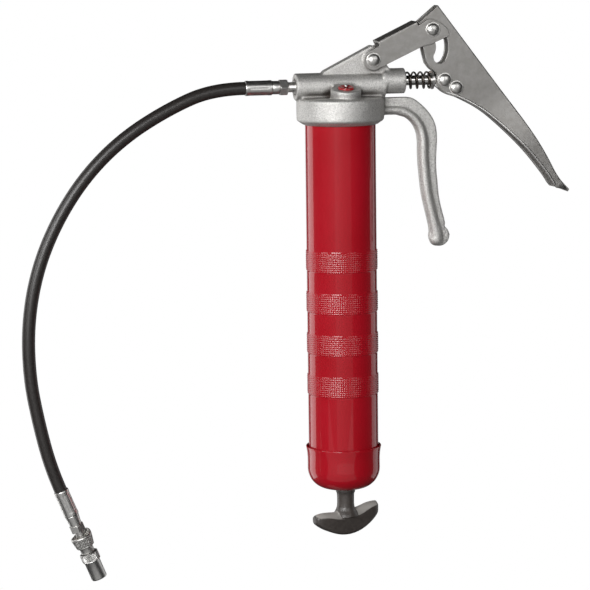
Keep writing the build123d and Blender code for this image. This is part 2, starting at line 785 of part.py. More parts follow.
# ---- outlet: check valve, adapter and the hose's head-end fitting --------------------------------
BALL_R = 3.5
BALL_X = SEAT_X - (BALL_R**2 - VALVE_PORT_R**2) ** 0.5 - RUN_FIT
with BuildPart() as check_ball:
    with Locations((BALL_X, 0, BODY_Z)):
        Sphere(BALL_R)
keep(check_ball.part, "check_ball")
CHECK_SPRING_LONG = 6.0
CHECK_SPRING_START = -BALL_X + 2.6
keep(coil(2.4, 0.4, CHECK_SPRING_LONG, 5, OUTLET.offset(CHECK_SPRING_START)), "check_spring")
ADAPTER_START = CHECK_SPRING_START + CHECK_SPRING_LONG
NIPPLE_END = 46.5
keep(
    turned_on(
        OUTLET,
        [
            (WATERWAY_R, ADAPTER_START),
            (CHECK_R, ADAPTER_START),
            (CHECK_R, -BODY_LEFT),
            (SOCKET_R, -BODY_LEFT),
            (SOCKET_R, NIPPLE_END),
            (WATERWAY_R, NIPPLE_END),
        ],
    ),
    "outlet_adapter",
)


def hose_end(plane, hex_start, hex_end, socket, neck_end, barb_end):
    """A hexagon with a socket for the thread, a rounded neck and the stem that the ferrule crimps on."""
    with BuildPart() as piece:
        with BuildSketch(plane.offset(hex_start)):
            RegularPolygon(radius=HEAD_HEX_R, side_count=6)
        extrude(amount=hex_end - hex_start)
        with BuildSketch(plane.offset(hex_end)):
            Circle(NECK_R)
        extrude(amount=neck_end - hex_end)
        with BuildSketch(plane.offset(neck_end)):
            Circle(BARB_R)
        extrude(amount=barb_end - neck_end)
        with BuildSketch(plane.offset(hex_start)):
            Circle(WATERWAY_R)
        extrude(amount=barb_end - hex_start, mode=Mode.SUBTRACT)
        with BuildSketch(plane.offset(hex_start)):
            Circle(SOCKET_R)
        extrude(amount=socket - hex_start, mode=Mode.SUBTRACT)
    return piece.part


def ferrule(plane, start, end):
    """A crimped ferrule with shallow flutes between two plain collars."""
    with BuildPart() as piece:
        with BuildSketch(plane.offset(start)):
            Circle(FERRULE_R)
            Circle(BARB_R, mode=Mode.SUBTRACT)
            with PolarLocations(FERRULE_R + 0.9, FLUTE_COUNT):
                Circle(1.5, mode=Mode.SUBTRACT)
        extrude(amount=end - start)
        for collar in (start, end - FERRULE_COLLAR):
            with BuildSketch(plane.offset(collar)):
                Circle(FERRULE_R - 0.25)
                Circle(BARB_R, mode=Mode.SUBTRACT)
            extrude(amount=FERRULE_COLLAR)
    return piece.part


HEX_START, HEX_END, HEAD_NECK = 43.8, 50.0, 56.3
HOSE_START = -HOSE_ROUTE[0][0]
keep(hose_end(OUTLET, HEX_START, HEX_END, NIPPLE_END, HEAD_NECK, HOSE_START), "hose_end_head")
keep(ferrule(OUTLET, HEAD_NECK, HOSE_START), "hose_ferrule_head")


# ---- hose: straight runs joined by tangent arcs --------------------------------------------------
def route_radii(route):
    """The largest arc at each corner that leaves a straight between it and the next."""
    radii = []
    for before, here, after in zip(route, route[1:], route[2:]):
        one, two = Vector(*here) - Vector(*before), Vector(*after) - Vector(*here)
        turn = radians(one.get_angle(two))
        radii.append(0.45 * min(one.length, two.length) / tan(turn / 2))
    return radii


radii = route_radii(HOSE_ROUTE)
print("hose arc radii", [round(r) for r in radii])
with BuildPart() as hose:
    with BuildLine():
        run = FilletPolyline([(x, 0, z) for x, z in HOSE_ROUTE], radius=radii)
    with BuildSketch(Plane(origin=run @ 0, z_dir=run % 0)):
        Circle(HOSE_R)
    sweep(path=run)
hose_long = run.length
straight_volume = pi * HOSE_R**2 * hose_long
print("hose length", round(hose_long, 1), "volume ratio", round(hose.part.volume / straight_volume, 4))
keep(hose.part, "hose")


# ---- coupler on the far end ----------------------------------------------------------------------
HOSE_END = HOSE_ROUTE[-1]
last_run = Vector(HOSE_END[0] - HOSE_ROUTE[-2][0], 0, HOSE_END[1] - HOSE_ROUTE[-2][1]).normalized()
COUPLER = Plane(origin=(HOSE_END[0], 0, HOSE_END[1]), x_dir=(0, 1, 0), z_dir=last_run)
FAR_FERRULE, FAR_NECK, FAR_HEX, FAR_NIPPLE = 22.3, 31.1, 36.5, 47.0

keep(ferrule(COUPLER, 0.0, FAR_FERRULE), "hose_ferrule_coupler")
with BuildPart() as hose_end_coupler:
    add(
        turned_on(
            COUPLER,
            [
                (WATERWAY_R, 0.0),
                (BARB_R, 0.0),
                (BARB_R, FAR_FERRULE),
                (5.6, FAR_FERRULE),
                (4.9, FAR_NECK),
                (WATERWAY_R, FAR_NECK),
            ],
        )
    )
    with BuildSketch(COUPLER.offset(FAR_NECK)):
        RegularPolygon(radius=FAR_HEX_R, side_count=6)
        Circle(WATERWAY_R, mode=Mode.SUBTRACT)
    extrude(amount=FAR_HEX - FAR_NECK)
    with BuildSketch(COUPLER.offset(FAR_HEX)):
        Circle(NIPPLE_R)
        Circle(WATERWAY_R, mode=Mode.SUBTRACT)
    extrude(amount=FAR_NIPPLE - FAR_HEX)
keep(hose_end_coupler.part, "hose_end_coupler")

BELL, BELL_END, RING, RING_END, MOUTH = 41.0, 51.0, 56.3, 63.5, 79.6
BELL_R = 8.9
STEM_R = 5.0
with BuildPart() as coupler_body:
    add(
        turned_on(
            COUPLER,
            [
                (NIPPLE_R, BELL + 4.0),
                (BELL_R - 2.3, BELL + 3.2),
                (BELL_R - 1.6, BELL),
                (BELL_R - 0.5, BELL),
                (BELL_R, BELL + 2.0),
                (BELL_R - 0.4, BELL + 6.0),
                (7.0, BELL_END),
                (5.6, BELL_END),
                (5.6, RING - 0.4),
                (STEM_R, RING - 0.4),
                (STEM_R, RING_END + 4.5),
                (3.2, RING_END + 4.5),
                (3.2, RING + 0.5),
                (WATERWAY_R, RING + 0.5),
                (WATERWAY_R, FAR_NIPPLE),
                (NIPPLE_R, FAR_NIPPLE),
            ],
        )
    )
keep(coupler_body.part, "coupler_body")

LIP = 76.9
MOUTH_R = 3.9
keep(
    turned_on(
        COUPLER,
        [
            (STEM_R + RUN_FIT, RING),
            (7.2, RING),
            (7.6, RING + 0.5),
            (7.6, RING_END - 0.5),
            (7.2, RING_END),
            (6.5, RING_END),
            (6.5, MOUTH - 0.6),
            (6.0, MOUTH),
            (MOUTH_R, MOUTH),
            (MOUTH_R, LIP),
            (5.3, LIP - 1.2),
            (5.3, RING_END + 4.9),
            (STEM_R + RUN_FIT, RING_END + 4.9),
        ],
    ),
    "coupler_sleeve",
)

JAW_IN_R, JAW_OUT_R, JAW_START, JAW_COUNT = 3.35, 4.9, 69.0, 4
with BuildPart() as coupler_jaws:
    add(
        turned_on(
            COUPLER,
            [
                (JAW_IN_R, JAW_START),
                (JAW_OUT_R, JAW_START),
                (JAW_OUT_R, LIP - 2.2),
                (JAW_OUT_R - 0.9, LIP - 0.5),
                (JAW_IN_R, LIP - 0.5),
            ],
        )
    )
    with BuildSketch(COUPLER.offset(JAW_START - 1.0)):
        with PolarLocations(4.2, JAW_COUNT):
            Rectangle(4.0, 0.9)
    extrude(amount=12.0, mode=Mode.SUBTRACT)
keep(coupler_jaws.part, "coupler_jaws")
CUP_START, CUP_END = 64.0, 68.0  # rubber cup that seals on the nipple's face
keep(ring(1.4, 3.2, CUP_START, CUP_END, COUPLER), "coupler_seal")
keep(coil(2.4, 0.4, CUP_START - RING - 0.5, 4, COUPLER.offset(RING + 0.5)), "coupler_spring")

print(len(made), "nodes")
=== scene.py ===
"""Looks of the pistol-grip grease gun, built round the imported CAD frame. Metres, +Z up the barrel."""
import json
from math import cos, pi, radians, sin

import bmesh
import bpy
from mathutils import Matrix, Vector


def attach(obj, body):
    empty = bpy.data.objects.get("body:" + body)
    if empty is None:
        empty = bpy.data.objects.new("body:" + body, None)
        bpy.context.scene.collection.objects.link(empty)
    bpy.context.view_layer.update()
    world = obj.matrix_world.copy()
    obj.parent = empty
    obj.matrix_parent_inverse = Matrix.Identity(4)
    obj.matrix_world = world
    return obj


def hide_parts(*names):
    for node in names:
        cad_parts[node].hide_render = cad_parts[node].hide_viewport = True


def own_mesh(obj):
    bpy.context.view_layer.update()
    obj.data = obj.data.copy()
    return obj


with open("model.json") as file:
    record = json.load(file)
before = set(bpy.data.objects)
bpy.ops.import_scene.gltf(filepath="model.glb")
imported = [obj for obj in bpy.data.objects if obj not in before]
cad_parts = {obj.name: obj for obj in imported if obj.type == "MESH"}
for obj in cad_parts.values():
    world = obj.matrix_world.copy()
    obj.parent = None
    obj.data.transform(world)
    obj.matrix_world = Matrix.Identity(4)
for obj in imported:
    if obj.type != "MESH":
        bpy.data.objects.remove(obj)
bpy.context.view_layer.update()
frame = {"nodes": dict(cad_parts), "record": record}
NODES = frame["nodes"]
MM = 0.001


# ---- camera --------------------------------------------------------------------------------------
AZIMUTH = radians(-12.0)
ELEVATION = radians(8.3)
ROLL = radians(-0.73)
DISTANCE = 2.2
LENS = 165.4
TARGET = Vector((-0.0392, 0.0, -0.0863))


def place_camera():
    """A long lens that looks at the gun from the front left, a little from above."""
    back = Vector((sin(AZIMUTH) * cos(ELEVATION), -cos(AZIMUTH) * cos(ELEVATION), sin(ELEVATION)))
    camera = bpy.data.objects.new("camera", bpy.data.cameras.new("camera"))
    bpy.context.scene.collection.objects.link(camera)
    camera.location = TARGET + back * DISTANCE
    turn = (-back).to_track_quat("-Z", "Y").to_matrix() @ Matrix.Rotation(ROLL, 3, "Z")
    camera.rotation_euler = turn.to_euler()
    camera.data.lens = LENS
    camera.data.sensor_width = 36.0
    camera.data.clip_end = 60.0
    bpy.context.scene.camera = camera


# ---- mesh helpers --------------------------------------------------------------------------------
def stepped(first, last, steps):
    """Evenly spaced values from first to last, both included."""
    return [first + (last - first) * k / steps for k in range(steps + 1)]


def new_piece(name, verts, faces, sharp=None):
    """A smooth-shaded mesh object. Edges that turn by more than the sharp angle stay crisp."""
    mesh = bpy.data.meshes.new(name)
    mesh.from_pydata([tuple(v) for v in verts], [], faces)
    mesh.update()
    piece = bpy.data.objects.new(name, mesh)
    bpy.context.scene.collection.objects.link(piece)
    mesh.shade_smooth()
    if sharp:
        mesh.set_sharp_from_angle(angle=radians(sharp))
    return piece


def frame_on(origin, along):
    """A matrix whose +Z lies along a direction, at an origin, with +X as level as can be."""
    z = Vector(along).normalized()
    side = Vector((0, 1, 0)) if abs(z.y) < 0.9 else Vector((1, 0, 0))
    x = side.cross(z).normalized()
    y = z.cross(x)
    m = Matrix((x, y, z)).transposed().to_4x4()
    m.translation = Vector(origin)
    return m


def grid_faces(rows, columns, close_rows):
    """Quads between rings of points; the last ring joins the first if close_rows is set."""
    faces = []
    for r in range(rows if close_rows else rows - 1):
        for c in range(columns):
            a, b = r * columns, (r + 1) % rows * columns
            faces.append((a + c, a + (c + 1) % columns, b + (c + 1) % columns, b + c))
    return faces


def bar_faces(rows, columns):
    """Quads between rings of points, and a face over the first and the last ring."""
    faces = grid_faces(rows, columns, False)
    faces.append(tuple(range(columns)))
    faces.append(tuple(reversed(range((rows - 1) * columns, rows * columns))))
    return faces


def swept_rings(name, matrix, profile, columns, shape=None, sharp=35, lift=None):
    """A turned piece: (radius, height) points in mm round the matrix's Z.

    shape(angle, r, z) may change the radius, and lift(angle, r, z) the height.
    A profile that starts and ends on the axis gets caps there, and any other closes on itself.
    """
    on_axis = profile[0][0] == 0
    ring_points = profile[1:-1] if on_axis else profile
    verts = []
    for r, z in ring_points:
        for c in range(columns):
            angle = 2 * pi * c / columns
            radius = shape(angle, r, z) if shape else r
            height = lift(angle, r, z) if lift else z
            verts.append(matrix @ Vector((radius * cos(angle), radius * sin(angle), height)))
    faces = grid_faces(len(ring_points), columns, not on_axis)
    if on_axis:
        first, last = len(verts), len(verts) + 1
        verts.append(matrix @ Vector((0, 0, profile[0][1])))
        verts.append(matrix @ Vector((0, 0, profile[-1][1])))
        base = (len(ring_points) - 1) * columns
        for c in range(columns):
            faces.append((first, (c + 1) % columns, c))
            faces.append((last, base + c, base + (c + 1) % columns))
    piece = new_piece(name, verts, faces, sharp)
    tidy_normals(piece)
    return piece


def tidy_normals(piece):
    """Points every face outwards."""
    bm = bmesh.new()
    bm.from_mesh(piece.data)
    bmesh.ops.recalc_face_normals(bm, faces=bm.faces)
    bm.to_mesh(piece.data)
    bm.free()


def in_mm(matrix):
    """The same frame, for points given in millimetres."""
    return matrix @ Matrix.Scale(MM, 4)


def apply_modifiers(piece):
    """Replaces a piece's mesh with what its modifiers make of it."""
    graph = bpy.context.evaluated_depsgraph_get()
    mesh = bpy.data.meshes.new_from_object(piece.evaluated_get(graph), depsgraph=graph)
    piece.modifiers.clear()
    piece.data = mesh
    return piece


def copy_of(node, name):
    """A separate copy of a CAD node's mesh, to be worked on."""
    piece = bpy.data.objects.new(name, NODES[node].data.copy())
    piece.data.materials.clear()
    bpy.context.scene.collection.objects.link(piece)
    return piece


def soften(piece, voxel, rounds):
    """Rounds a piece's edges and inner corners, as in a casting, by remeshing and smoothing it."""
    remesh = piece.modifiers.new("remesh", "REMESH")
    remesh.mode = "VOXEL"
    remesh.voxel_size = voxel * MM
    smooth = piece.modifiers.new("smooth", "SMOOTH")
    smooth.factor = 0.5
    smooth.iterations = rounds
    apply_modifiers(piece)
    piece.data.shade_smooth()
    return piece


def settle(piece, body, slot, material, *replaced):
    """The last steps of every piece: its finish, its body and the CAD nodes that it stands for."""
    piece.data.materials.clear()
    piece.data.materials.append(material)
    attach(piece, body)
    if replaced:
        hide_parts(*replaced)
    return piece


# ---- materials -----------------------------------------------------------------------------------
class Finish:
    """A principled material with a few helpers to add procedural detail to it."""

    def __init__(self, name, colour, metallic, roughness, **sockets):
        self.material = bpy.data.materials.new(name)
        self.material.use_nodes = True
        self.nodes = self.material.node_tree.nodes
        self.links = self.material.node_tree.links
        self.shader = self.nodes["Principled BSDF"]
        self.set("Base Color", (*colour, 1.0))
        self.set("Metallic", metallic)
        self.set("Roughness", roughness)
        for socket, value in sockets.items():
            self.set(socket.replace("_", " "), value)
        self.height = None

    def set(self, socket, value):
        self.shader.inputs[socket].default_value = value

    def place(self):
        """Object coordinates in millimetres."""
        coordinates = self.nodes.new("ShaderNodeTexCoord")
        mapping = self.nodes.new("ShaderNodeMapping")
        mapping.inputs["Scale"].default_value = [1.0 / MM] * 3
        self.links.new(coordinates.outputs["Object"], mapping.inputs["Vector"])
        return mapping.outputs["Vector"]

    def noise(self, size, detail=3.0, rough=0.55):
        """Noise whose lumps are about size millimetres across."""
        node = self.nodes.new("ShaderNodeTexNoise")
        node.inputs["Scale"].default_value = 1.0 / size
        node.inputs["Detail"].default_value = detail
        node.inputs["Roughness"].default_value = rough
        self.links.new(self.place(), node.inputs["Vector"])
        return node.outputs["Fac"]

    def ramp(self, value, *stops):
        """A ramp from (position, colour) stops."""
        node = self.nodes.new("ShaderNodeValToRGB")
        elements = node.color_ramp.elements
        while len(elements) < len(stops):
            elements.new(0.5)
        for element, (position, colour) in zip(elements, stops):
            element.position = position
            element.color = (*colour, 1.0)
        self.links.new(value, node.inputs["Fac"])
        return node.outputs["Color"]

    def spread(self, value, low, high, start=0.3, end=0.7):
        """Maps a value from start..end to low..high."""
        node = self.nodes.new("ShaderNodeMapRange")
        node.inputs["From Min"].default_value = start
        node.inputs["From Max"].default_value = end
        node.inputs["To Min"].default_value = low
        node.inputs["To Max"].default_value = high
        self.links.new(value, node.inputs["Value"])
        return node.outputs["Result"]

    def mix(self, share, colour_a, colour_b):
        """A blend from colour a to colour b by a share; either may be a node's output."""
        node = self.nodes.new("ShaderNodeMix")
        node.data_type = "RGBA"
        self.links.new(share, node.inputs["Factor"])
        for socket, colour in ((node.inputs["A"], colour_a), (node.inputs["B"], colour_b)):
            if isinstance(colour, tuple):
                socket.default_value = (*colour, 1.0)
            else:
                self.links.new(colour, socket)
        return node.outputs["Result"]

    def crease_shade(self, colour, shade_colour, reach, full=0.25, unshaded=0.85):
        """A colour painted darker in corners and gaps as painted shade, within reach millimetres of another
        surface.
        """
        # painted shade: ambient occlusion darkens the colour where other surfaces crowd in
        node = self.nodes.new("ShaderNodeAmbientOcclusion")
        node.samples = 8
        node.inputs["Distance"].default_value = reach * MM
        return self.mix(self.spread(node.outputs["AO"], 0.0, 1.0, full, unshaded), shade_colour, colour)

    def round_edges(self, radius):
        """Shades sharp edges as if they were rounded to a radius in millimetres."""
        node = self.nodes.new("ShaderNodeBevel")
        node.samples = 12
        node.inputs["Radius"].default_value = radius * MM
        self.height = node.outputs["Normal"]

    def to(self, socket, value):
        self.links.new(value, self.shader.inputs[socket])

    def bump(self, value, strength, depth):
        """Adds a bump of depth millimetres on top of those already there."""
        node = self.nodes.new("ShaderNodeBump")
        node.inputs["Strength"].default_value = strength
        node.inputs["Distance"].default_value = depth * MM
        self.links.new(value, node.inputs["Height"])
        if self.height:
            self.links.new(self.height, node.inputs["Normal"])
        self.height = node.outputs["Normal"]
        self.links.new(self.height, self.shader.inputs["Normal"])


def red_enamel():
    """Deep red gloss enamel with a faint orange peel."""
    f = Finish("red_enamel", (0.40, 0.003, 0.010), 0.0, 0.45, Coat_Weight=1.0, Coat_Roughness=0.035)
    f.set("Specular IOR Level", 0.15)
    tone = f.noise(60.0, 2.0)
    f.to("Base Color", f.ramp(tone, (0.3, (0.37, 0.003, 0.010)), (0.7, (0.42, 0.004, 0.014))))
    f.to("Roughness", f.spread(f.noise(9.0), 0.40, 0.52))
    f.bump(f.noise(4.0, 1.0), 0.05, 0.05)
    return f.material


def cast_aluminium():
    """Sand-cast, tumbled aluminium: pale, matte and finely speckled, with darker pores."""
    f = Finish("cast_aluminium", (0.66, 0.655, 0.63), 0.92, 0.52)
    speckle = f.ramp(
        f.noise(1.1, 4.0, 0.75),
        (0.30, (0.36, 0.355, 0.34)),
        (0.50, (0.68, 0.67, 0.65)),
        (0.74, (0.90, 0.89, 0.87)),
    )
    cloud = f.spread(f.noise(14.0, 3.0), 0.0, 0.45)
    unshaded = f.mix(cloud, speckle, (0.60, 0.59, 0.57))
    # painted shade: the speckled colour turns dark brown in corners and gaps, from ambient occlusion
    f.to("Base Color", f.crease_shade(unshaded, (0.10, 0.085, 0.075), 8.0, 0.42, 0.9))
    f.to("Roughness", f.spread(f.noise(0.8, 3.0), 0.46, 0.68))
    f.bump(f.noise(1.3, 4.0, 0.75), 1.0, 0.35)
    f.bump(f.noise(3.5, 3.0), 0.5, 0.3)
    return f.material


def plated_steel():
    """Satin zinc plate on pressed steel, slightly mottled, with painted shade in the corners."""
    f = Finish("plated_steel", (0.45, 0.44, 0.42), 1.0, 0.40)
    f.round_edges(0.5)
    mottle = f.noise(5.0, 5.0, 0.65)
    plate = f.ramp(mottle, (0.3, (0.39, 0.375, 0.355)), (0.7, (0.48, 0.47, 0.455)))
    # painted shade: the plate colour goes near black in corners and gaps, from ambient occlusion
    f.to("Base Color", f.crease_shade(plate, (0.05, 0.045, 0.04), 2.2))
    f.to("Roughness", f.spread(f.noise(1.2, 4.0), 0.32, 0.50))
    f.bump(f.noise(2.5, 2.0), 0.2, 0.02)
    f.bump(f.noise(12.0, 2.0), 0.2, 0.15)
    return f.material


def bright_steel():
    """Bright nickel plate with fine turning marks."""
    f = Finish("bright_steel", (0.78, 0.77, 0.75), 1.0, 0.30)
    f.round_edges(0.25)
    f.to("Base Color", f.ramp(f.noise(2.5, 3.0), (0.3, (0.72, 0.71, 0.69)), (0.7, (0.84, 0.83, 0.81))))
    f.to("Roughness", f.spread(f.noise(0.7, 3.0), 0.24, 0.38))
    f.bump(f.noise(0.5, 2.0), 0.12, 0.02)
    return f.material


def matte_steel():
    """Nickel plate over a knurled or blasted surface."""
    f = Finish("matte_steel", (0.62, 0.61, 0.59), 1.0, 0.42)
    plate = f.ramp(f.noise(0.8, 4.0), (0.3, (0.44, 0.43, 0.41)), (0.7, (0.74, 0.73, 0.71)))
    # painted shade: the plate colour goes near black in corners and gaps, from ambient occlusion
    f.to("Base Color", f.crease_shade(plate, (0.05, 0.045, 0.04), 1.6))
    f.to("Roughness", f.spread(f.noise(0.5, 3.0), 0.34, 0.55))
    f.bump(f.noise(0.45, 3.0), 0.5, 0.05)
    return f.material


def rivet_steel():
    """Upset steel of the rivet heads, softly shining."""
    f = Finish("rivet_steel", (0.66, 0.65, 0.63), 1.0, 0.36)
    f.to("Base Color", f.ramp(f.noise(1.5, 4.0), (0.3, (0.56, 0.55, 0.53)), (0.7, (0.74, 0.73, 0.71))))
    f.to("Roughness", f.spread(f.noise(1.2, 3.0), 0.32, 0.44))
    f.bump(f.noise(2.0, 3.0), 0.3, 0.06)
    return f.material


def edge_steel():
    """Plated steel burnished bright on a rolled edge."""
    f = Finish("edge_steel", (0.80, 0.79, 0.77), 1.0, 0.28)
    f.to("Roughness", f.spread(f.noise(2.0, 3.0), 0.22, 0.36))
    f.bump(f.noise(1.0, 2.0), 0.1, 0.02)
    return f.material


def crimp_steel():
    """Dull nickel plate of the crimped ferrules and the hexagons."""
    f = Finish("crimp_steel", (0.92, 0.91, 0.89), 1.0, 0.42)
    plate = f.ramp(f.noise(1.5, 4.0), (0.3, (0.66, 0.65, 0.63)), (0.7, (0.82, 0.81, 0.79)))
    # painted shade: the plate colour goes dark in corners and gaps, from ambient occlusion
    f.to("Base Color", f.crease_shade(plate, (0.08, 0.075, 0.07), 1.0))
    f.to("Roughness", f.spread(f.noise(1.0, 3.0), 0.30, 0.42))
    f.bump(f.noise(0.8, 3.0), 0.2, 0.03)
    return f.material


def polished_steel():
    """Ground and polished steel."""
    f = Finish("polished_steel", (0.74, 0.73, 0.71), 1.0, 0.10)
    f.to("Roughness", f.spread(f.noise(0.5, 2.0), 0.07, 0.16))
    f.bump(f.noise(0.4, 2.0), 0.05, 0.01)
    return f.material


def spring_steel():
    """Dark, oiled spring wire."""
    f = Finish("spring_steel", (0.10, 0.085, 0.075), 1.0, 0.26)
    f.to("Base Color", f.ramp(f.noise(1.5, 3.0), (0.3, (0.06, 0.05, 0.045)), (0.7, (0.17, 0.145, 0.125))))
    f.to("Roughness", f.spread(f.noise(0.8, 2.0), 0.18, 0.36))
    f.bump(f.noise(0.4, 2.0), 0.15, 0.02)
    return f.material


def dark_enamel():
    """Satin black-brown coating of the T-handle, painted pale on its upward faces as a painted sheen."""
    f = Finish("dark_enamel", (0.030, 0.025, 0.023), 0.0, 0.40, Coat_Weight=0.25, Coat_Roughness=0.25)
    coat = f.ramp(f.noise(3.0, 4.0), (0.3, (0.044, 0.037, 0.033)), (0.7, (0.070, 0.060, 0.054)))
    geometry = f.nodes.new("ShaderNodeNewGeometry")
    parts = f.nodes.new("ShaderNodeSeparateXYZ")
    f.links.new(geometry.outputs["Normal"], parts.inputs["Vector"])
    # painted sheen: faces that point up get a pale grey, standing in for the light they catch
    top_sheen = f.spread(parts.outputs["Z"], 0.0, 1.0, 0.5, 0.8)
    f.to("Base Color", f.mix(top_sheen, coat, (0.42, 0.41, 0.385)))
    f.to("Roughness", f.spread(f.noise(1.0, 3.0), 0.34, 0.50))
    f.bump(f.noise(0.8, 3.0), 0.25, 0.03)
    f.bump(f.noise(6.0, 2.0), 0.2, 0.10)
    return f.material


def black_rubber():
    """Matte nitrile rubber."""
    f = Finish("black_rubber", (0.016, 0.015, 0.015), 0.0, 0.62)
    f.to("Roughness", f.spread(f.noise(0.9, 3.0), 0.52, 0.74))
    f.bump(f.noise(0.6, 3.0), 0.3, 0.03)
    return f.material


def hose_cover():
    """Smooth black hose cover with a soft sheen and a faint lengthwise grain."""
    f = Finish("hose_cover", (0.020, 0.017, 0.016), 0.0, 0.36, Coat_Weight=0.15, Coat_Roughness=0.3)
    cover = f.ramp(f.noise(1.4, 4.0), (0.3, (0.014, 0.012, 0.011)), (0.7, (0.030, 0.026, 0.024)))
    f.to("Base Color", cover)
    f.to("Roughness", f.spread(f.noise(1.0, 3.0), 0.30, 0.46))
    f.bump(f.noise(0.7, 3.0), 0.25, 0.03)
    return f.material


def vent_red():
    """Translucent-looking moulded red plastic."""
    f = Finish("vent_red", (0.30, 0.012, 0.014), 0.0, 0.22, Coat_Weight=0.5)
    f.to("Roughness", f.spread(f.noise(1.0, 2.0), 0.18, 0.30))
    f.bump(f.noise(0.8, 2.0), 0.1, 0.02)
    return f.material


FINISHES = {
    "red_paint": red_enamel(),
    "cast_aluminium": cast_aluminium(),
    "plated_steel": plated_steel(),
    "bright_steel": bright_steel(),
    "polished_steel": polished_steel(),
    "spring_steel": spring_steel(),
    "dark_paint": dark_enamel(),
    "black_rubber": black_rubber(),
    "hose_rubber": hose_cover(),
    "vent_red": vent_red(),
}
MATTE_STEEL = matte_steel()
EDGE_STEEL = edge_steel()
RIVET_STEEL = rivet_steel()
CRIMP_STEEL = crimp_steel()


def finish_cad_nodes():
    """Gives every CAD node the procedural finish of its slot."""
    for part in frame["record"]["subparts"]:
        data = NODES[part["node"]].data
        data.materials.clear()
        data.materials.append(FINISHES[part["material_slot"]])


# ---- whip hose -----------------------------------------------------------------------------------
HOSE_R = 5.3
BODY_Z = 82.3  # height of the pump body's axis
HOSE_ROUTE = [  # X, Z of the control points of its curve, as in the CAD part
    (-78.0, BODY_Z),
    (-104.5, BODY_Z),
    (-141.0, 67.2),
    (-177.8, 45.0),
    (-208.0, 16.2),
    (-231.9, -19.3),
    (-248.6, -58.3),
    (-256.8, -100.3),
    (-256.7, -143.4),
    (-250.3, -181.0),
    (-241.4, -218.5),
    (-233.9, -237.1),
]


def make_hose():
    """The hose as one smooth tube from ferrule to ferrule."""
    curve = bpy.data.curves.new("whip_hose", "CURVE")
    curve.dimensions = "3D"
    curve.bevel_depth = HOSE_R * MM
    curve.bevel_resolution = 12
    curve.use_fill_caps = True
    curve.resolution_u = 24
    spline = curve.splines.new("NURBS")
    spline.points.add(len(HOSE_ROUTE) - 1)
    for point, (x, z) in zip(spline.points, HOSE_ROUTE):
        point.co = (x * MM, 0.0, z * MM, 1.0)
    spline.order_u = 3
    spline.use_endpoint_u = True
    hose = bpy.data.objects.new("whip_hose", curve)
    bpy.context.scene.collection.objects.link(hose)
    settle(hose, "gun", "hose_rubber", FINISHES["hose_rubber"], "hose")
    return hose


# ---- barrel and cap ------------------------------------------------------------------------------
BARREL_R = 28.575
BARREL_IN_R = 27.275
BARREL_TOP = 63.5
BARREL_FOOT = -229.0
BAND_TOP = -50.0
BAND_PITCH = 33.9
BAND_TALL = 17.0
BAND_COUNT = 4
KNURL_ROWS = 10
KNURL_AROUND = 110
KNURL_DEPTH = 0.42
GROOVE_SHARE = 0.35  # height of a row between its dots, as a share of a dot's
BAND_SWELL = 0.3
SHOULDER = 1.2  # height over which a band rises from the plain barrel
BAND_MARGIN = 1.0
STEPS_PER_KNURL = 4


def eased(share):
    """0 to 1 with a soft start and end."""
    share = min(1.0, max(0.0, share))
    return share * share * (3.0 - 2.0 * share)


def band_depth(z):
    """Distance of a height from the nearer edge of its band, or a negative number outside the bands."""
    for band in range(BAND_COUNT):
        top = BAND_TOP - band * BAND_PITCH
        if top - BAND_TALL <= z <= top:
            return min(top - z, z - top + BAND_TALL)
    return -1.0


def barrel_shape(angle, r, z):
    """The barrel's outer radius: plain, or swollen and knurled in a band."""
    depth = band_depth(z)
    if r < BARREL_R or depth < 0.0:
        return r
    row = (BAND_TOP - z) % BAND_PITCH / BAND_TALL * KNURL_ROWS
    dot = GROOVE_SHARE + (1.0 - GROOVE_SHARE) * sin(angle * KNURL_AROUND / 2) ** 2
    dots = sin(pi * row) ** 2 * dot
    return r + eased(depth / SHOULDER) * (BAND_SWELL + KNURL_DEPTH * dots)


def make_barrel():
    """The enamelled tube with four knurled grip bands rolled into it."""
    heights = [BARREL_FOOT]
    for band in reversed(range(BAND_COUNT)):
        top = BAND_TOP - band * BAND_PITCH
        steps = STEPS_PER_KNURL * KNURL_ROWS
        heights.append(top - BAND_TALL - BAND_MARGIN)
        heights += [top - BAND_TALL + BAND_TALL * k / steps for k in range(steps + 1)]
        heights.append(top + BAND_MARGIN)
    heights.append(BARREL_TOP)
    profile = [(BARREL_IN_R, BARREL_TOP), (BARREL_IN_R, BARREL_FOOT)]
    profile += [(BARREL_R, z) for z in heights]
    columns = STEPS_PER_KNURL * KNURL_AROUND
    barrel = swept_rings("barrel", in_mm(Matrix()), profile, columns, barrel_shape)
    return settle(barrel, "gun", "red_paint", FINISHES["red_paint"], "barrel_tube")


CAP_RIM = -212.0
CAP_FOOT = -247.5
CAP_R = 30.8
CAP_FLAT_R = 13.0
CAP_HOLE_R = 7.6
CAP_WALL = 1.2
CAP_SIDE_R = CAP_R - 1.1  # where the side meets the dome
DOME_TALL = 17.0
RIM_BEAD_R = 0.6


def dome_arc(inset, first, last):
    """Points in mm on the cap's dome, inset from its outer face, between two angles up from level."""
    wide = CAP_SIDE_R - CAP_FLAT_R - inset
    tall = DOME_TALL - inset
    top = CAP_FOOT + DOME_TALL
    return [(CAP_FLAT_R + wide * cos(a), top - tall * sin(a)) for a in stepped(first, last, 12)]


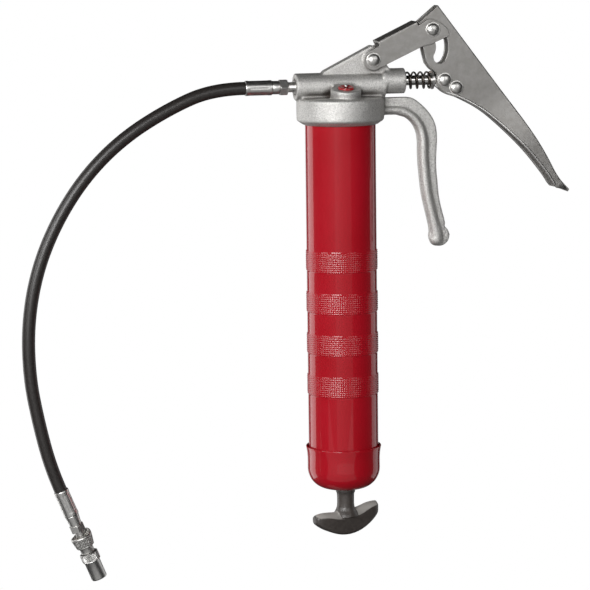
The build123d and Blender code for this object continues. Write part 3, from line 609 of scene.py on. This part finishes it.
def make_cap():
    """The drawn end cap: a thin rolled rim, a waisted side and a domed end."""
    bead_r, bead_z = CAP_R - 0.55, CAP_RIM - RIM_BEAD_R
    profile = [(bead_r + RIM_BEAD_R * cos(a), bead_z + RIM_BEAD_R * sin(a)) for a in stepped(pi, -0.2, 6)]
    profile += [(CAP_R - 0.25, CAP_RIM - 2.2), (CAP_R - 0.75, CAP_RIM - 5.5)]
    profile += [(CAP_SIDE_R, CAP_RIM - 9.5), (CAP_R - 1.15, CAP_RIM - 13.5)]
    profile += dome_arc(0.0, 0.0, pi / 2)
    profile += [(CAP_HOLE_R, CAP_FOOT), (CAP_HOLE_R, CAP_FOOT + CAP_WALL)]
    profile += dome_arc(CAP_WALL, pi / 2, 0.0)
    profile += [(CAP_R - 2.2, CAP_RIM - 9.0), (CAP_R - 1.2, CAP_RIM - 3.0)]
    cap = swept_rings("cap", in_mm(Matrix()), profile, 160, sharp=50)
    return settle(cap, "gun", "red_paint", FINISHES["red_paint"], "barrel_cap")


# ---- casting and T-handle ------------------------------------------------------------------------
CASTING_VOXEL = 0.8
HANDLE_VOXEL = 0.5
SMOOTH_ROUNDS = 4


def make_casting():
    """The head casting with the soft edges and corners of a sand casting."""
    casting = soften(copy_of("head_casting", "casting"), CASTING_VOXEL, SMOOTH_ROUNDS)
    return settle(casting, "gun", "cast_aluminium", FINISHES["cast_aluminium"], "head_casting")


HANDLE_TURN = radians(22.0)
HANDLE_REACH = 31.0  # half the span of its arms
HANDLE_DEEP = 8.0  # half the depth of its arms
HANDLE_LEAN = 0.031  # rise of the right arm, per mm along it
HANDLE_SHIFT = 1.2  # the handle sits a little to the right on its rod
CREST_Z = -266.4  # the ridge along the top, at the neck
CREST_RISE = 2.2  # how much higher the ridge is towards the tips
RISE_START, RISE_END = 8.0, 26.0  # mm along an arm
CREST_LEAN = 0.045  # the ridge leans a little more than the arms
EDGE_DROP = 6.6  # the top's edges below its ridge, at the neck
TIP_EDGE_DROP = 3.6
KEEL_Z = -286.5
KEEL_RISE = 12.5  # how much higher the underside is at the tips
KEEL_ROUNDING = 2.6
TIP_ANGLE = radians(89.0)
# Powers of its curves: the smaller the power, the blunter the tips and the boxier the section.
TIP_SIDE_POWER = 0.12
TIP_PLAN_POWER = 0.45
WALL_POWER = 0.6
ROOF_POWER = 0.85
KEEL_POWER = 5
NECK_PROFILE = [
    (0, -249.2),
    (7.2, -249.2),
    (8.0, -249.9),
    (8.0, -251.3),
    (7.2, -252.3),
    (7.0, -256.0),
    (7.0, -261.0),
    (7.3, -264.0),
    (8.2, -266.6),
    (9.6, -269.0),
    (10.6, -271.5),
    (0, -272.5),
]


def arm_section(turn, columns):
    """A ring of points of the crescent arms, at an angle from -90 to 90 degrees along their span."""
    along = HANDLE_REACH * sin(turn)
    tall = cos(turn) ** TIP_SIDE_POWER
    deep = HANDLE_DEEP * cos(turn) ** TIP_PLAN_POWER
    rise = CREST_RISE * eased((abs(along) - RISE_START) / (RISE_END - RISE_START))
    crest = CREST_Z + rise + CREST_LEAN * along
    edge_drop = EDGE_DROP - (EDGE_DROP - TIP_EDGE_DROP) * eased(abs(along) / RISE_END)
    keel = KEEL_Z + KEEL_RISE * (along / HANDLE_REACH) ** 2
    middle = (crest + keel) / 2
    ring = []
    for c in range(columns):
        angle = 2 * pi * c / columns
        across = cos(angle)
        if sin(angle) >= 0:
            z = crest - edge_drop * abs(across) ** ROOF_POWER
        else:
            z = keel + KEEL_ROUNDING * abs(across) ** KEEL_POWER
        side = abs(across) ** WALL_POWER * (1 if across > 0 else -1)
        ring.append((along, deep * side, middle + (z - middle) * tall + HANDLE_LEAN * along))
    return ring


def add_mesh(piece, other):
    """Moves another piece's mesh into this one's."""
    joined = bmesh.new()
    joined.from_mesh(piece.data)
    joined.from_mesh(other.data)
    joined.to_mesh(piece.data)
    joined.free()
    bpy.data.objects.remove(other)


def make_t_handle():
    """The coated T-handle: a flared neck on crescent arms with a ridged top."""
    rows, columns = 49, 40
    shift = Matrix.Translation((HANDLE_SHIFT * MM, 0, 0))
    matrix = shift @ in_mm(Matrix.Rotation(HANDLE_TURN, 4, "Z"))
    verts = []
    for turn in stepped(-TIP_ANGLE, TIP_ANGLE, rows - 1):
        verts += [matrix @ Vector(point) for point in arm_section(turn, columns)]
    handle = new_piece("t_handle_arms", verts, bar_faces(rows, columns))
    tidy_normals(handle)
    add_mesh(handle, swept_rings("t_handle_neck", shift @ in_mm(Matrix()), NECK_PROFILE, 64))
    soften(handle, HANDLE_VOXEL, SMOOTH_ROUNDS)
    return settle(handle, "plunger", "dark_paint", FINISHES["dark_paint"], "t_handle")


# ---- linkage -------------------------------------------------------------------------------------
LEVER_HALF = 6.75  # half its width at the rivets
LINK_HALF = 9.05
HEAD_R = 5.0
HEAD_TALL = 2.7
PIN_R = 3.0
PIVOT_A = (26.0, 102.9)  # X, Z in mm
PIVOT_B = (75.4, 126.3)
PIVOT_C = (85.7, 85.2)
RIVET_D = (95.3, 78.7)


def make_rivet(name, body, point, half_span, node):
    """A pin with a hammered dome on each outer face."""
    washer = 0.3
    foot = half_span + washer
    dome = [(HEAD_R * sin(a), foot + (HEAD_TALL - washer) * cos(a)) for a in stepped(pi / 2, 0.0, 9)]
    dome[-1] = (0, half_span + HEAD_TALL)
    head = [(HEAD_R + 1.0, foot - 0.1), (HEAD_R + 0.8, foot), (HEAD_R + 0.1, foot)] + dome
    rim = [(PIN_R, half_span - 0.02), (HEAD_R + 1.0, half_span - 0.02)]
    far = [(r, -h) for r, h in reversed(rim + head)]
    matrix = in_mm(frame_on((point[0] * MM, 0, point[1] * MM), (0, 1, 0)))
    rivet = swept_rings(name, matrix, far + rim + head, 48)
    return settle(rivet, body, "bright_steel", RIVET_STEEL, node)


def make_rivets():
    """The domed rivets of the four pivots."""
    make_rivet("rivet_at_rib", "link_plate", PIVOT_A, LINK_HALF, "rivet_rib")
    make_rivet("rivet_at_slot", "link_plate", PIVOT_B, LINK_HALF, "rivet_shift")
    make_rivet("rivet_at_plunger", "squeeze_lever", PIVOT_C, LEVER_HALF, "rivet_plunger")
    make_rivet("rivet_at_spacer", "squeeze_lever", RIVET_D, LEVER_HALF, "rivet_spacer")


BELLY_LINE = [  # X, Z in mm along the lower edge of the lever's cheeks
    (84.5, 75.8),
    (101.0, 69.3),
    (122.3, 56.6),
    (151.4, 30.4),
    (171.0, 7.1),
    (179.0, -5.4),
]
SPINE_TOP = (90.0, 133.2)
SPINE_WAY = (0.602, -0.798)
FLARE_HALF = 10.0
TIP_NARROWING = 6.0
FLARE_START, FLARE_END, ROUND_START, HANDLE_END = 68.0, 125.0, 162.5, 174.5  # mm down the spine
EDGE_R = 1.15
EDGE_INSET = 0.4
EDGE_SUNK = 0.5  # how far its middle lies inside the cheek's face
THIN_END = 0.3  # its thickness at both ends, as a share
STEPS_PER_SPAN = 10
TAPER_STEPS = (12.0, 6.0)  # points over which it gets thick at the rivets, and thin at the tip


def smooth_line(points, steps):
    """(X, Z) points in mm on a smooth line through the given ones, with steps between each pair."""
    line = []
    for k in range(len(points) - 1):
        before = Vector(points[max(k - 1, 0)])
        here, there = Vector(points[k]), Vector(points[k + 1])
        after = Vector(points[min(k + 2, len(points) - 1)])
        for t in stepped(0.0, 1.0 - 1.0 / steps, steps - 1):
            curve = 2 * here + (there - before) * t
            curve += (2 * before - 5 * here + 4 * there - after) * t**2
            curve += (3 * here - before - 3 * there + after) * t**3
            line.append(curve / 2)
    return line + [Vector(points[-1])]


def lever_half(point):
    """Half the lever's width at a point of its side view."""
    along = (point[0] - SPINE_TOP[0]) * SPINE_WAY[0] + (point[1] - SPINE_TOP[1]) * SPINE_WAY[1]
    flare = eased((along - FLARE_START) / (FLARE_END - FLARE_START))
    half = LEVER_HALF + (FLARE_HALF - LEVER_HALF) * flare
    rounding = max(0.0, along - ROUND_START) / (HANDLE_END - ROUND_START)
    return half - TIP_NARROWING * min(1.0, rounding) ** 2


def rolled_edge(points):
    """Ovals in mm of a rolled edge along points, thin at both ends."""
    last = len(points) - 1
    ovals = []
    for k, here in enumerate(points):
        way = (points[min(k + 1, last)] - points[max(k - 1, 0)]).normalized()
        across = way.cross(Vector((0, 1, 0))).normalized()
        inside = across * (EDGE_INSET if across.z > 0 else -EDGE_INSET)
        size = EDGE_R * min(1.0, THIN_END + k / TAPER_STEPS[0], THIN_END + (last - k) / TAPER_STEPS[1])
        ovals.append((here + inside, across * size, Vector((0, size, 0))))
    return ovals


def make_rolled_edges():
    """The bright rolled lower edges of the lever's cheeks."""
    line = smooth_line(BELLY_LINE, STEPS_PER_SPAN)
    for side, name in ((-1, "front"), (1, "back")):
        points = [Vector((p.x, side * (lever_half(p) - EDGE_SUNK), p.y)) for p in line]
        edge = lofted_ovals("rolled_edge_" + name, in_mm(Matrix()), rolled_edge(points))
        settle(edge, "squeeze_lever", "plated_steel", EDGE_STEEL)


# ---- springs -------------------------------------------------------------------------------------
def coil_points(mean_r, wire_r, length, turns):
    """Points in mm along a compression spring whose last three quarters of a turn lie flat at each end."""
    flat, steps_per_turn = 0.75, 32
    count = int(turns * steps_per_turn)
    rise = length - 2 * wire_r
    points = []
    for k in range(count + 1):
        turn = turns * k / count
        share = min(1.0, max(0.0, (turn - flat) / (turns - 2 * flat)))
        lift = 2 * wire_r * min(1.0, turn / flat) + (rise - 4 * wire_r) * share
        lift += 2 * wire_r * max(0.0, (turn - turns + flat) / flat)
        angle = 2 * pi * turn
        points.append(Vector((mean_r * cos(angle), mean_r * sin(angle), wire_r + lift)))
    return points


def lofted_ovals(name, matrix, ovals, columns=12):
    """A closed round bar through ovals, each a centre and two half-axis vectors in mm."""
    verts = []
    for centre, across, up in ovals:
        for c in range(columns):
            angle = 2 * pi * c / columns
            verts.append(matrix @ (centre + across * cos(angle) + up * sin(angle)))
    piece = new_piece(name, verts, bar_faces(len(ovals), columns), 50)
    tidy_normals(piece)
    return piece


def tube_along(name, matrix, points, radius, columns=12):
    """A closed round tube through points in mm."""
    ovals = []
    for k, here in enumerate(points):
        ahead = points[min(k + 1, len(points) - 1)]
        behind = points[max(k - 1, 0)]
        way = (ahead - behind).normalized()
        side = way.cross(Vector((0, 0, 1))).normalized()
        ovals.append((here, side * radius, side.cross(way) * radius))
    return lofted_ovals(name, matrix, ovals, columns)


PUMP_Z = 85.2
RETURN_START = 44.2
RETURN_LONG = 31.7
RETURN_R = 6.45
RETURN_WIRE_R = 0.75
RETURN_TURNS = 6.5
MAIN_START = -242.8
MAIN_LONG = 292.6
MAIN_R = 16.6
MAIN_WIRE_R = 1.1
MAIN_TURNS = 15


def make_return_spring():
    """The pump's return spring, squeezed by the plunger's stroke."""
    along = in_mm(frame_on((RETURN_START * MM, 0, PUMP_Z * MM), (1, 0, 0)))
    coils = coil_points(RETURN_R, RETURN_WIRE_R, RETURN_LONG, RETURN_TURNS)
    spring = tube_along("pump_spring", along, coils, RETURN_WIRE_R + 0.05)
    settle(spring, "gun", "spring_steel", FINISHES["spring_steel"], "return_spring")
    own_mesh(spring)


def make_main_spring():
    """The long spring behind the follower, squeezed as the follower is pulled back."""
    up = in_mm(frame_on((0, 0, MAIN_START * MM), (0, 0, 1)))
    coils = coil_points(MAIN_R, MAIN_WIRE_R, MAIN_LONG, MAIN_TURNS)
    spring = tube_along("barrel_spring", up, coils, MAIN_WIRE_R)
    settle(spring, "gun", "spring_steel", FINISHES["spring_steel"], "main_spring")
    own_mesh(spring)


# ---- hose fittings and coupler -------------------------------------------------------------------
# The head's fittings are placed in mm from the barrel's axis, and those of the coupler from the hose's end.
FERRULE_R = 6.1
FERRULE_IN_R = 2.6
COLLAR_LONG = 2.2
CRIMP_EASE = 1.5  # length over which the crimp gets deep
CRIMP_DEEP = 0.1
FLUTE_DEEP = 0.22
FLUTES = 8
WATERWAY_R = 1.5
STEM_IN_HOSE_R = 2.5
BODY_START, BODY_END, THREAD_END = 28.9, 37.5, 46.5
ADAPTER_R = 5.5
THREAD_R = 4.2
THREAD_DEEP = 0.28
THREAD_PITCH = 1.1
HEX_START, HEX_END = 43.8, 50.0
HEAD_NECK = 56.3
HEAD_HEX_R = 6.9
HEX_CHAMFER = 0.55
HOSE_START = 78.0
FAR_FERRULE, FAR_NECK, FAR_HEX, FAR_NIPPLE = 22.3, 31.1, 36.5, 47.0
FAR_HEX_R = 6.5
NIPPLE_R = 3.6


def make_ferrule(name, matrix, start, end, node):
    """A ferrule crimped in eight flutes between two rounded collars."""
    crimp_start, crimp_end = start + COLLAR_LONG, end - COLLAR_LONG

    def crimped(angle, r, z):
        if r < FERRULE_R - 0.01:
            return r
        share = min(z - crimp_start, crimp_end - z) / CRIMP_EASE
        flute = max(0.0, cos(angle * FLUTES)) ** 1.5
        return r - eased(share) * (CRIMP_DEEP + FLUTE_DEEP * flute)

    rings = [start + 0.5, start + 1.1] + stepped(crimp_start, crimp_end, 24) + [end - 1.1, end - 0.5]
    profile = [(FERRULE_IN_R, start), (FERRULE_R - 0.5, start), (FERRULE_R - 0.15, start + 0.15)]
    profile += [(FERRULE_R, z) for z in rings]
    profile += [(FERRULE_R - 0.15, end - 0.15), (FERRULE_R - 0.5, end), (FERRULE_IN_R, end)]
    ferrule = swept_rings(name, matrix, profile, 96, crimped)
    return settle(ferrule, "gun", "bright_steel", CRIMP_STEEL, node)


def hexagon(corner_r, start, end):
    """A shape function: a hexagon with chamfered corners at both ends."""

    def shape(angle, r, z):
        if not start - 0.01 <= z <= end + 0.01 or r < corner_r - 1.9:
            return r
        flat = corner_r * cos(pi / 6) / cos((angle + pi / 6) % (pi / 3) - pi / 6)
        corner = corner_r - HEX_CHAMFER * max(0.0, 1.0 - min(z - start, end - z) / HEX_CHAMFER)
        return min(flat, corner)

    return shape


def hexagon_rings(corner_r, start, end):
    """The outer points in mm of a hexagon's profile, from its start face to its end face."""
    rings = [(corner_r - 1.2, start)]
    rings += [(corner_r, start + step) for step in (0.0, 0.3, 0.6)]
    rings += [(corner_r, end - step) for step in (0.6, 0.3, 0.0)]
    return rings + [(corner_r - 1.2, end + 0.01)]


def make_head_fitting(outlet):
    """Hexagon and rounded neck between the head and its ferrule."""
    profile = [(WATERWAY_R, HEX_START)] + hexagon_rings(HEAD_HEX_R, HEX_START, HEX_END)
    profile += [(5.0, HEX_END + 0.3), (5.4, HEX_END + 1.0), (5.4, HEAD_NECK - 0.8), (5.1, HEAD_NECK - 0.1)]
    profile += [(STEM_IN_HOSE_R, HEAD_NECK), (STEM_IN_HOSE_R, HOSE_START), (WATERWAY_R, HOSE_START)]
    nut = swept_rings("head_nut", outlet, profile, 96, hexagon(HEAD_HEX_R, HEX_START, HEX_END), 28)
    settle(nut, "gun", "bright_steel", CRIMP_STEEL, "hose_end_head")


def make_outlet_adapter(outlet):
    """The threaded adapter between the head and the hose's hexagon."""
    long = THREAD_END - BODY_END
    steps = int(long / THREAD_PITCH * 6)
    ridges = []
    for z in (BODY_END + long * k / steps for k in range(steps + 1)):
        ridges.append((THREAD_R - THREAD_DEEP * (0.5 - 0.5 * cos(2 * pi * z / THREAD_PITCH)), z))
    profile = [(WATERWAY_R, BODY_START), (ADAPTER_R, BODY_START), (ADAPTER_R, BODY_END - 0.05)]
    profile += ridges + [(WATERWAY_R, THREAD_END)]
    adapter = swept_rings("thread_adapter", outlet, profile, 64)
    settle(adapter, "gun", "bright_steel", FINISHES["bright_steel"], "outlet_adapter")


def make_far_fitting(coupler):
    """Tapered neck, small hexagon and nipple of the hose's coupler end."""
    profile = [(WATERWAY_R, 0.0), (STEM_IN_HOSE_R, 0.0), (STEM_IN_HOSE_R, FAR_FERRULE)]
    profile += [(5.4, FAR_FERRULE), (5.6, FAR_FERRULE + 0.4), (5.5, FAR_FERRULE + 2.0)]
    profile += [(5.0, FAR_NECK - 2.5), (4.9, FAR_NECK - 0.05)]
    profile += hexagon_rings(FAR_HEX_R, FAR_NECK, FAR_HEX)
    profile += [(NIPPLE_R, FAR_HEX + 0.05), (NIPPLE_R, FAR_NIPPLE), (WATERWAY_R, FAR_NIPPLE)]
    fitting = swept_rings("coupler_nut", coupler, profile, 96, hexagon(FAR_HEX_R, FAR_NECK, FAR_HEX), 28)
    settle(fitting, "gun", "bright_steel", CRIMP_STEEL, "hose_end_coupler")


BELL, BELL_END, RING, RING_END, MOUTH = 41.0, 51.0, 56.3, 63.5, 79.6
BELL_R = 8.9
BELL_RISE = 3.0  # the bell's rim stands higher at the back
RIM_TALL = 4.0
RIM_IN_R = 6.5
STEM_R = 5.0
STEM_END = RING_END + 4.5
SEAL_CUP_R = 3.2
SLEEVE_R = 6.5
SLEEVE_IN_R = 5.3
MOUTH_R = 3.9
KNURL_R = 7.6
GROOVE_DEEP = 0.4
GROOVE_EASE = 0.6  # height over which the grooves get deep


def knurled(start, end, radius, around, rows, depth):
    """A shape function: crossed diagonal grooves between two heights."""

    def shape(angle, r, z):
        if r < radius - 0.01 or not start <= z <= end:
            return r
        lift = (z - start) / (end - start) * rows
        one = abs(sin(angle * around / 2 + pi * lift))
        two = abs(sin(angle * around / 2 - pi * lift))
        ease = eased(min(z - start, end - z) / GROOVE_EASE)
        return r - depth * ease * (1.0 - min(one, two))

    return shape


def raised_rim(angle, r, z):
    """The height of the bell's points: its rim stands higher at the back."""
    if z > BELL + RIM_TALL or r < RIM_IN_R:
        return z
    back = max(0.0, cos(angle - 0.75 * pi))
    return z - BELL_RISE * back * (1.0 - (z - BELL) / RIM_TALL)


def make_coupler_body(coupler):
    """The bell-shaped guard of the coupler, and the stem that its sleeve turns on."""
    profile = [(WATERWAY_R, FAR_NIPPLE), (NIPPLE_R + 0.05, FAR_NIPPLE), (NIPPLE_R + 0.05, BELL + RIM_TALL)]
    profile += [(6.6, BELL + 3.4), (7.3, BELL + 0.3), (7.6, BELL), (8.3, BELL), (8.7, BELL + 0.3)]
    profile += [(BELL_R - 0.2 * max(0.0, z - 2.0), BELL + z) for z in stepped(1.0, 9.4, 28)]
    profile += [(6.6, BELL_END), (5.8, BELL_END + 0.2), (5.6, BELL_END + 0.6), (5.6, RING - 0.4)]
    profile += [(STEM_R, RING - 0.4), (STEM_R, STEM_END), (SEAL_CUP_R, STEM_END), (SEAL_CUP_R, RING + 0.5)]
    profile += [(WATERWAY_R, RING + 0.5)]
    shape = knurled(BELL + 1.2, BELL + 9.2, 7.0, 48, 6, GROOVE_DEEP)
    body = swept_rings("coupler_bell", coupler, profile, 224, shape, 40, raised_rim)
    settle(body, "gun", "bright_steel", MATTE_STEEL, "coupler_body")


def make_coupler_sleeve(coupler):
    """The turning sleeve of the coupler with its knurled ring."""
    rows = 5
    wall = [(KNURL_R, z) for z in stepped(RING + 0.4, RING_END - 0.4, 8 * rows)]
    profile = [(STEM_R + 0.05, RING), (7.2, RING)] + wall + [(7.2, RING_END), (6.7, RING_END + 0.05)]
    profile += [(SLEEVE_R, RING_END + 0.3), (SLEEVE_R, MOUTH - 1.2), (SLEEVE_R - 0.2, MOUTH - 0.5)]
    profile += [(6.0, MOUTH - 0.05), (5.6, MOUTH), (4.1, MOUTH)]
    profile += [(MOUTH_R, MOUTH - 0.2), (MOUTH_R, MOUTH - 2.7)]
    profile += [(SLEEVE_IN_R, MOUTH - 3.9), (SLEEVE_IN_R, STEM_END + 0.4), (STEM_R + 0.05, STEM_END + 0.4)]
    shape = knurled(RING + 0.4, RING_END - 0.4, KNURL_R, 44, rows, GROOVE_DEEP)
    sleeve = swept_rings("coupler_grip", coupler, profile, 288, shape, 40)
    settle(sleeve, "sleeve", "bright_steel", CRIMP_STEEL, "coupler_sleeve")


# ---- air vent and check valve --------------------------------------------------------------------
VENT_LEAN = radians(12.0)
VENT_NORMAL = Vector((0, -sin(VENT_LEAN), cos(VENT_LEAN)))
VENT_ORIGIN = Vector((0, -18.5, 67.0)) * MM + VENT_NORMAL * 14.8 * MM
VENT_BORE_R = 5.0
VENT_DISC_R = 6.4
WELL_R = 3.9
WELL_DEEP = 6.5
VENT_COIL_R = 2.6
VENT_WIRE_R = 0.35
VENT_SPRING_LONG = 4.7


def make_vent_disc():
    """The red vent disc, dished round its button."""
    vent = in_mm(frame_on(VENT_ORIGIN, VENT_NORMAL))
    profile = [(1.6, -12.0), (VENT_BORE_R, -12.0), (VENT_BORE_R, 0.0)]
    profile += [(VENT_DISC_R, 0.02), (VENT_DISC_R, 0.8)]
    profile += [(6.2, 1.3), (5.8, 1.6), (5.2, 1.7), (4.6, 1.6), (3.4, 1.0), (2.5, 0.75), (2.1, 0.7)]
    profile += [(2.1, -0.5), (WELL_R, -0.5), (WELL_R, -WELL_DEEP), (1.6, -WELL_DEEP)]
    disc = swept_rings("vent_disc", vent, profile, 72, sharp=45)
    settle(disc, "gun", "vent_red", FINISHES["vent_red"], "vent_body")


def make_vent_pin():
    """The small bright button of the vent, on its stem."""
    vent = in_mm(frame_on(VENT_ORIGIN, VENT_NORMAL))
    profile = [(0, -13.0), (1.5, -12.8), (1.5, -1.8), (3.4, -1.8), (3.4, -0.8), (1.5, -0.8), (1.5, 2.2)]
    profile += [(1.45, 2.6), (1.2, 3.0), (0.7, 3.3), (0, 3.4)]
    button = swept_rings("vent_pin", vent, profile, 48, sharp=45)
    settle(button, "vent", "polished_steel", FINISHES["polished_steel"], "vent_button")


def make_vent_spring():
    """The spring under the vent's button, squeezed as the button is pressed."""
    foot = VENT_ORIGIN - VENT_NORMAL * WELL_DEEP * MM
    coils = coil_points(VENT_COIL_R, VENT_WIRE_R, VENT_SPRING_LONG, 4)
    spring = tube_along("vent_coil", in_mm(frame_on(foot, VENT_NORMAL)), coils, VENT_WIRE_R, 8)
    settle(spring, "gun", "spring_steel", FINISHES["spring_steel"], "vent_spring")
    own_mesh(spring)


VALVE_SPRING_START = 22.198  # where it rests on the check ball, in mm from the barrel's axis
VALVE_SPRING_LONG = 6.0
VALVE_COIL_R = 2.4
VALVE_WIRE_R = 0.4


def make_valve_spring(outlet):
    """The small spring behind the outlet's check ball, squeezed as the ball lifts."""
    matrix = outlet @ Matrix.Translation((0, 0, VALVE_SPRING_START))
    coils = coil_points(VALVE_COIL_R, VALVE_WIRE_R, VALVE_SPRING_LONG, 5)
    spring = tube_along("valve_coil", matrix, coils, VALVE_WIRE_R, 8)
    settle(spring, "gun", "spring_steel", FINISHES["spring_steel"], "check_spring")
    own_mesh(spring)


# ---- lights and surroundings ---------------------------------------------------------------------
DOME_R = 12.0
FLOOR_Z = -1.1


def area_light(name, azimuth, elevation, distance, width, height, power):
    """A white softbox that faces the gun, at an azimuth counted from the camera's, in degrees."""
    a = AZIMUTH + radians(azimuth)
    e = radians(elevation)
    back = Vector((sin(a) * cos(e), -cos(a) * cos(e), sin(e)))
    light = bpy.data.lights.new(name, "AREA")
    light.shape = "RECTANGLE"
    light.size = width
    light.size_y = height
    light.energy = power
    lamp = bpy.data.objects.new(name, light)
    bpy.context.scene.collection.objects.link(lamp)
    lamp.location = TARGET + back * distance
    lamp.rotation_euler = back.to_track_quat("Z", "Y").to_euler()


def make_backdrop():
    """A white dome and floor that only the camera sees."""
    white = bpy.data.materials.new("white_backdrop")
    white.use_nodes = True
    white.node_tree.nodes.clear()
    glow = white.node_tree.nodes.new("ShaderNodeEmission")
    out = white.node_tree.nodes.new("ShaderNodeOutputMaterial")
    white.node_tree.links.new(glow.outputs["Emission"], out.inputs["Surface"])
    bpy.ops.mesh.primitive_uv_sphere_add(segments=48, ring_count=24, radius=DOME_R, location=TARGET)
    dome = bpy.context.object
    dome.name = "backdrop"
    place = (0, 0, FLOOR_Z)
    bpy.ops.mesh.primitive_circle_add(vertices=64, radius=DOME_R - 0.1, fill_type="NGON", location=place)
    floor = bpy.context.object
    floor.name = "floor"
    for piece in (dome, floor):
        piece.data.materials.append(white)
        piece.visible_diffuse = False
        piece.visible_glossy = False
        piece.visible_transmission = False
        piece.visible_shadow = False


def make_room_light():
    """Light from all round, strong from below and weak from overhead."""
    world = bpy.data.worlds.new("room")
    bpy.context.scene.world = world
    world.use_nodes = True
    nodes, links = world.node_tree.nodes, world.node_tree.links
    direction = nodes.new("ShaderNodeTexCoord")
    parts = nodes.new("ShaderNodeSeparateXYZ")
    links.new(direction.outputs["Generated"], parts.inputs["Vector"])
    fade = nodes.new("ShaderNodeMapRange")
    for socket, value in (("From Min", -0.8), ("From Max", 0.25), ("To Min", 0.75), ("To Max", 0.04)):
        fade.inputs[socket].default_value = value
    links.new(parts.outputs["Z"], fade.inputs["Value"])
    links.new(fade.outputs["Result"], nodes["Background"].inputs["Strength"])


def make_softboxes():
    """The softboxes that light the gun and show as streaks in its enamel."""
    # name, azimuth, elevation, distance, width, height, power
    area_light("front_key", -18, 15, 2.6, 1.4, 1.1, 51)
    area_light("left_key", -58, 18, 2.6, 1.2, 1.2, 19)
    area_light("right_front", 34, 20, 2.8, 1.4, 1.2, 12)
    area_light("front_fill", 6, -8, 3.2, 3.2, 1.3, 2.5)
    area_light("floor_bounce", -10, -38, 2.8, 5.0, 2.4, 11)
    area_light("left_strip", -122, 0, 2.2, 1.4, 3.0, 22)
    area_light("right_strip", 122, 0, 2.2, 1.18, 3.0, 8)
    area_light("back_fill", 180, -12, 3.0, 2.4, 1.2, 6)
    bpy.context.scene.view_settings.view_transform = "Standard"
    bpy.context.scene.view_settings.look = "None"


place_camera()
hose = make_hose()
finish_cad_nodes()
# Two frames in mm whose +Z runs along the fittings: out of the head, and on from the hose's far end.
outlet = in_mm(frame_on((0, 0, BODY_Z * MM), (-1, 0, 0)))
coupler_start = Vector((HOSE_ROUTE[-1][0], 0, HOSE_ROUTE[-1][1]))
coupler_way = coupler_start - Vector((HOSE_ROUTE[-2][0], 0, HOSE_ROUTE[-2][1]))
coupler = in_mm(frame_on(coupler_start * MM, coupler_way))
make_barrel()
make_cap()
make_casting()
make_t_handle()
make_rivets()
make_rolled_edges()
make_return_spring()
make_main_spring()
make_vent_disc()
make_vent_pin()
make_vent_spring()
make_valve_spring(outlet)
make_head_fitting(outlet)
make_outlet_adapter(outlet)
make_far_fitting(coupler)
make_ferrule("ferrule_at_head", outlet, HEAD_NECK, HOSE_START, "hose_ferrule_head")
make_ferrule("ferrule_at_coupler", coupler, 0.0, FAR_FERRULE, "hose_ferrule_coupler")
make_coupler_body(coupler)
make_coupler_sleeve(coupler)
make_backdrop()
make_room_light()
make_softboxes()
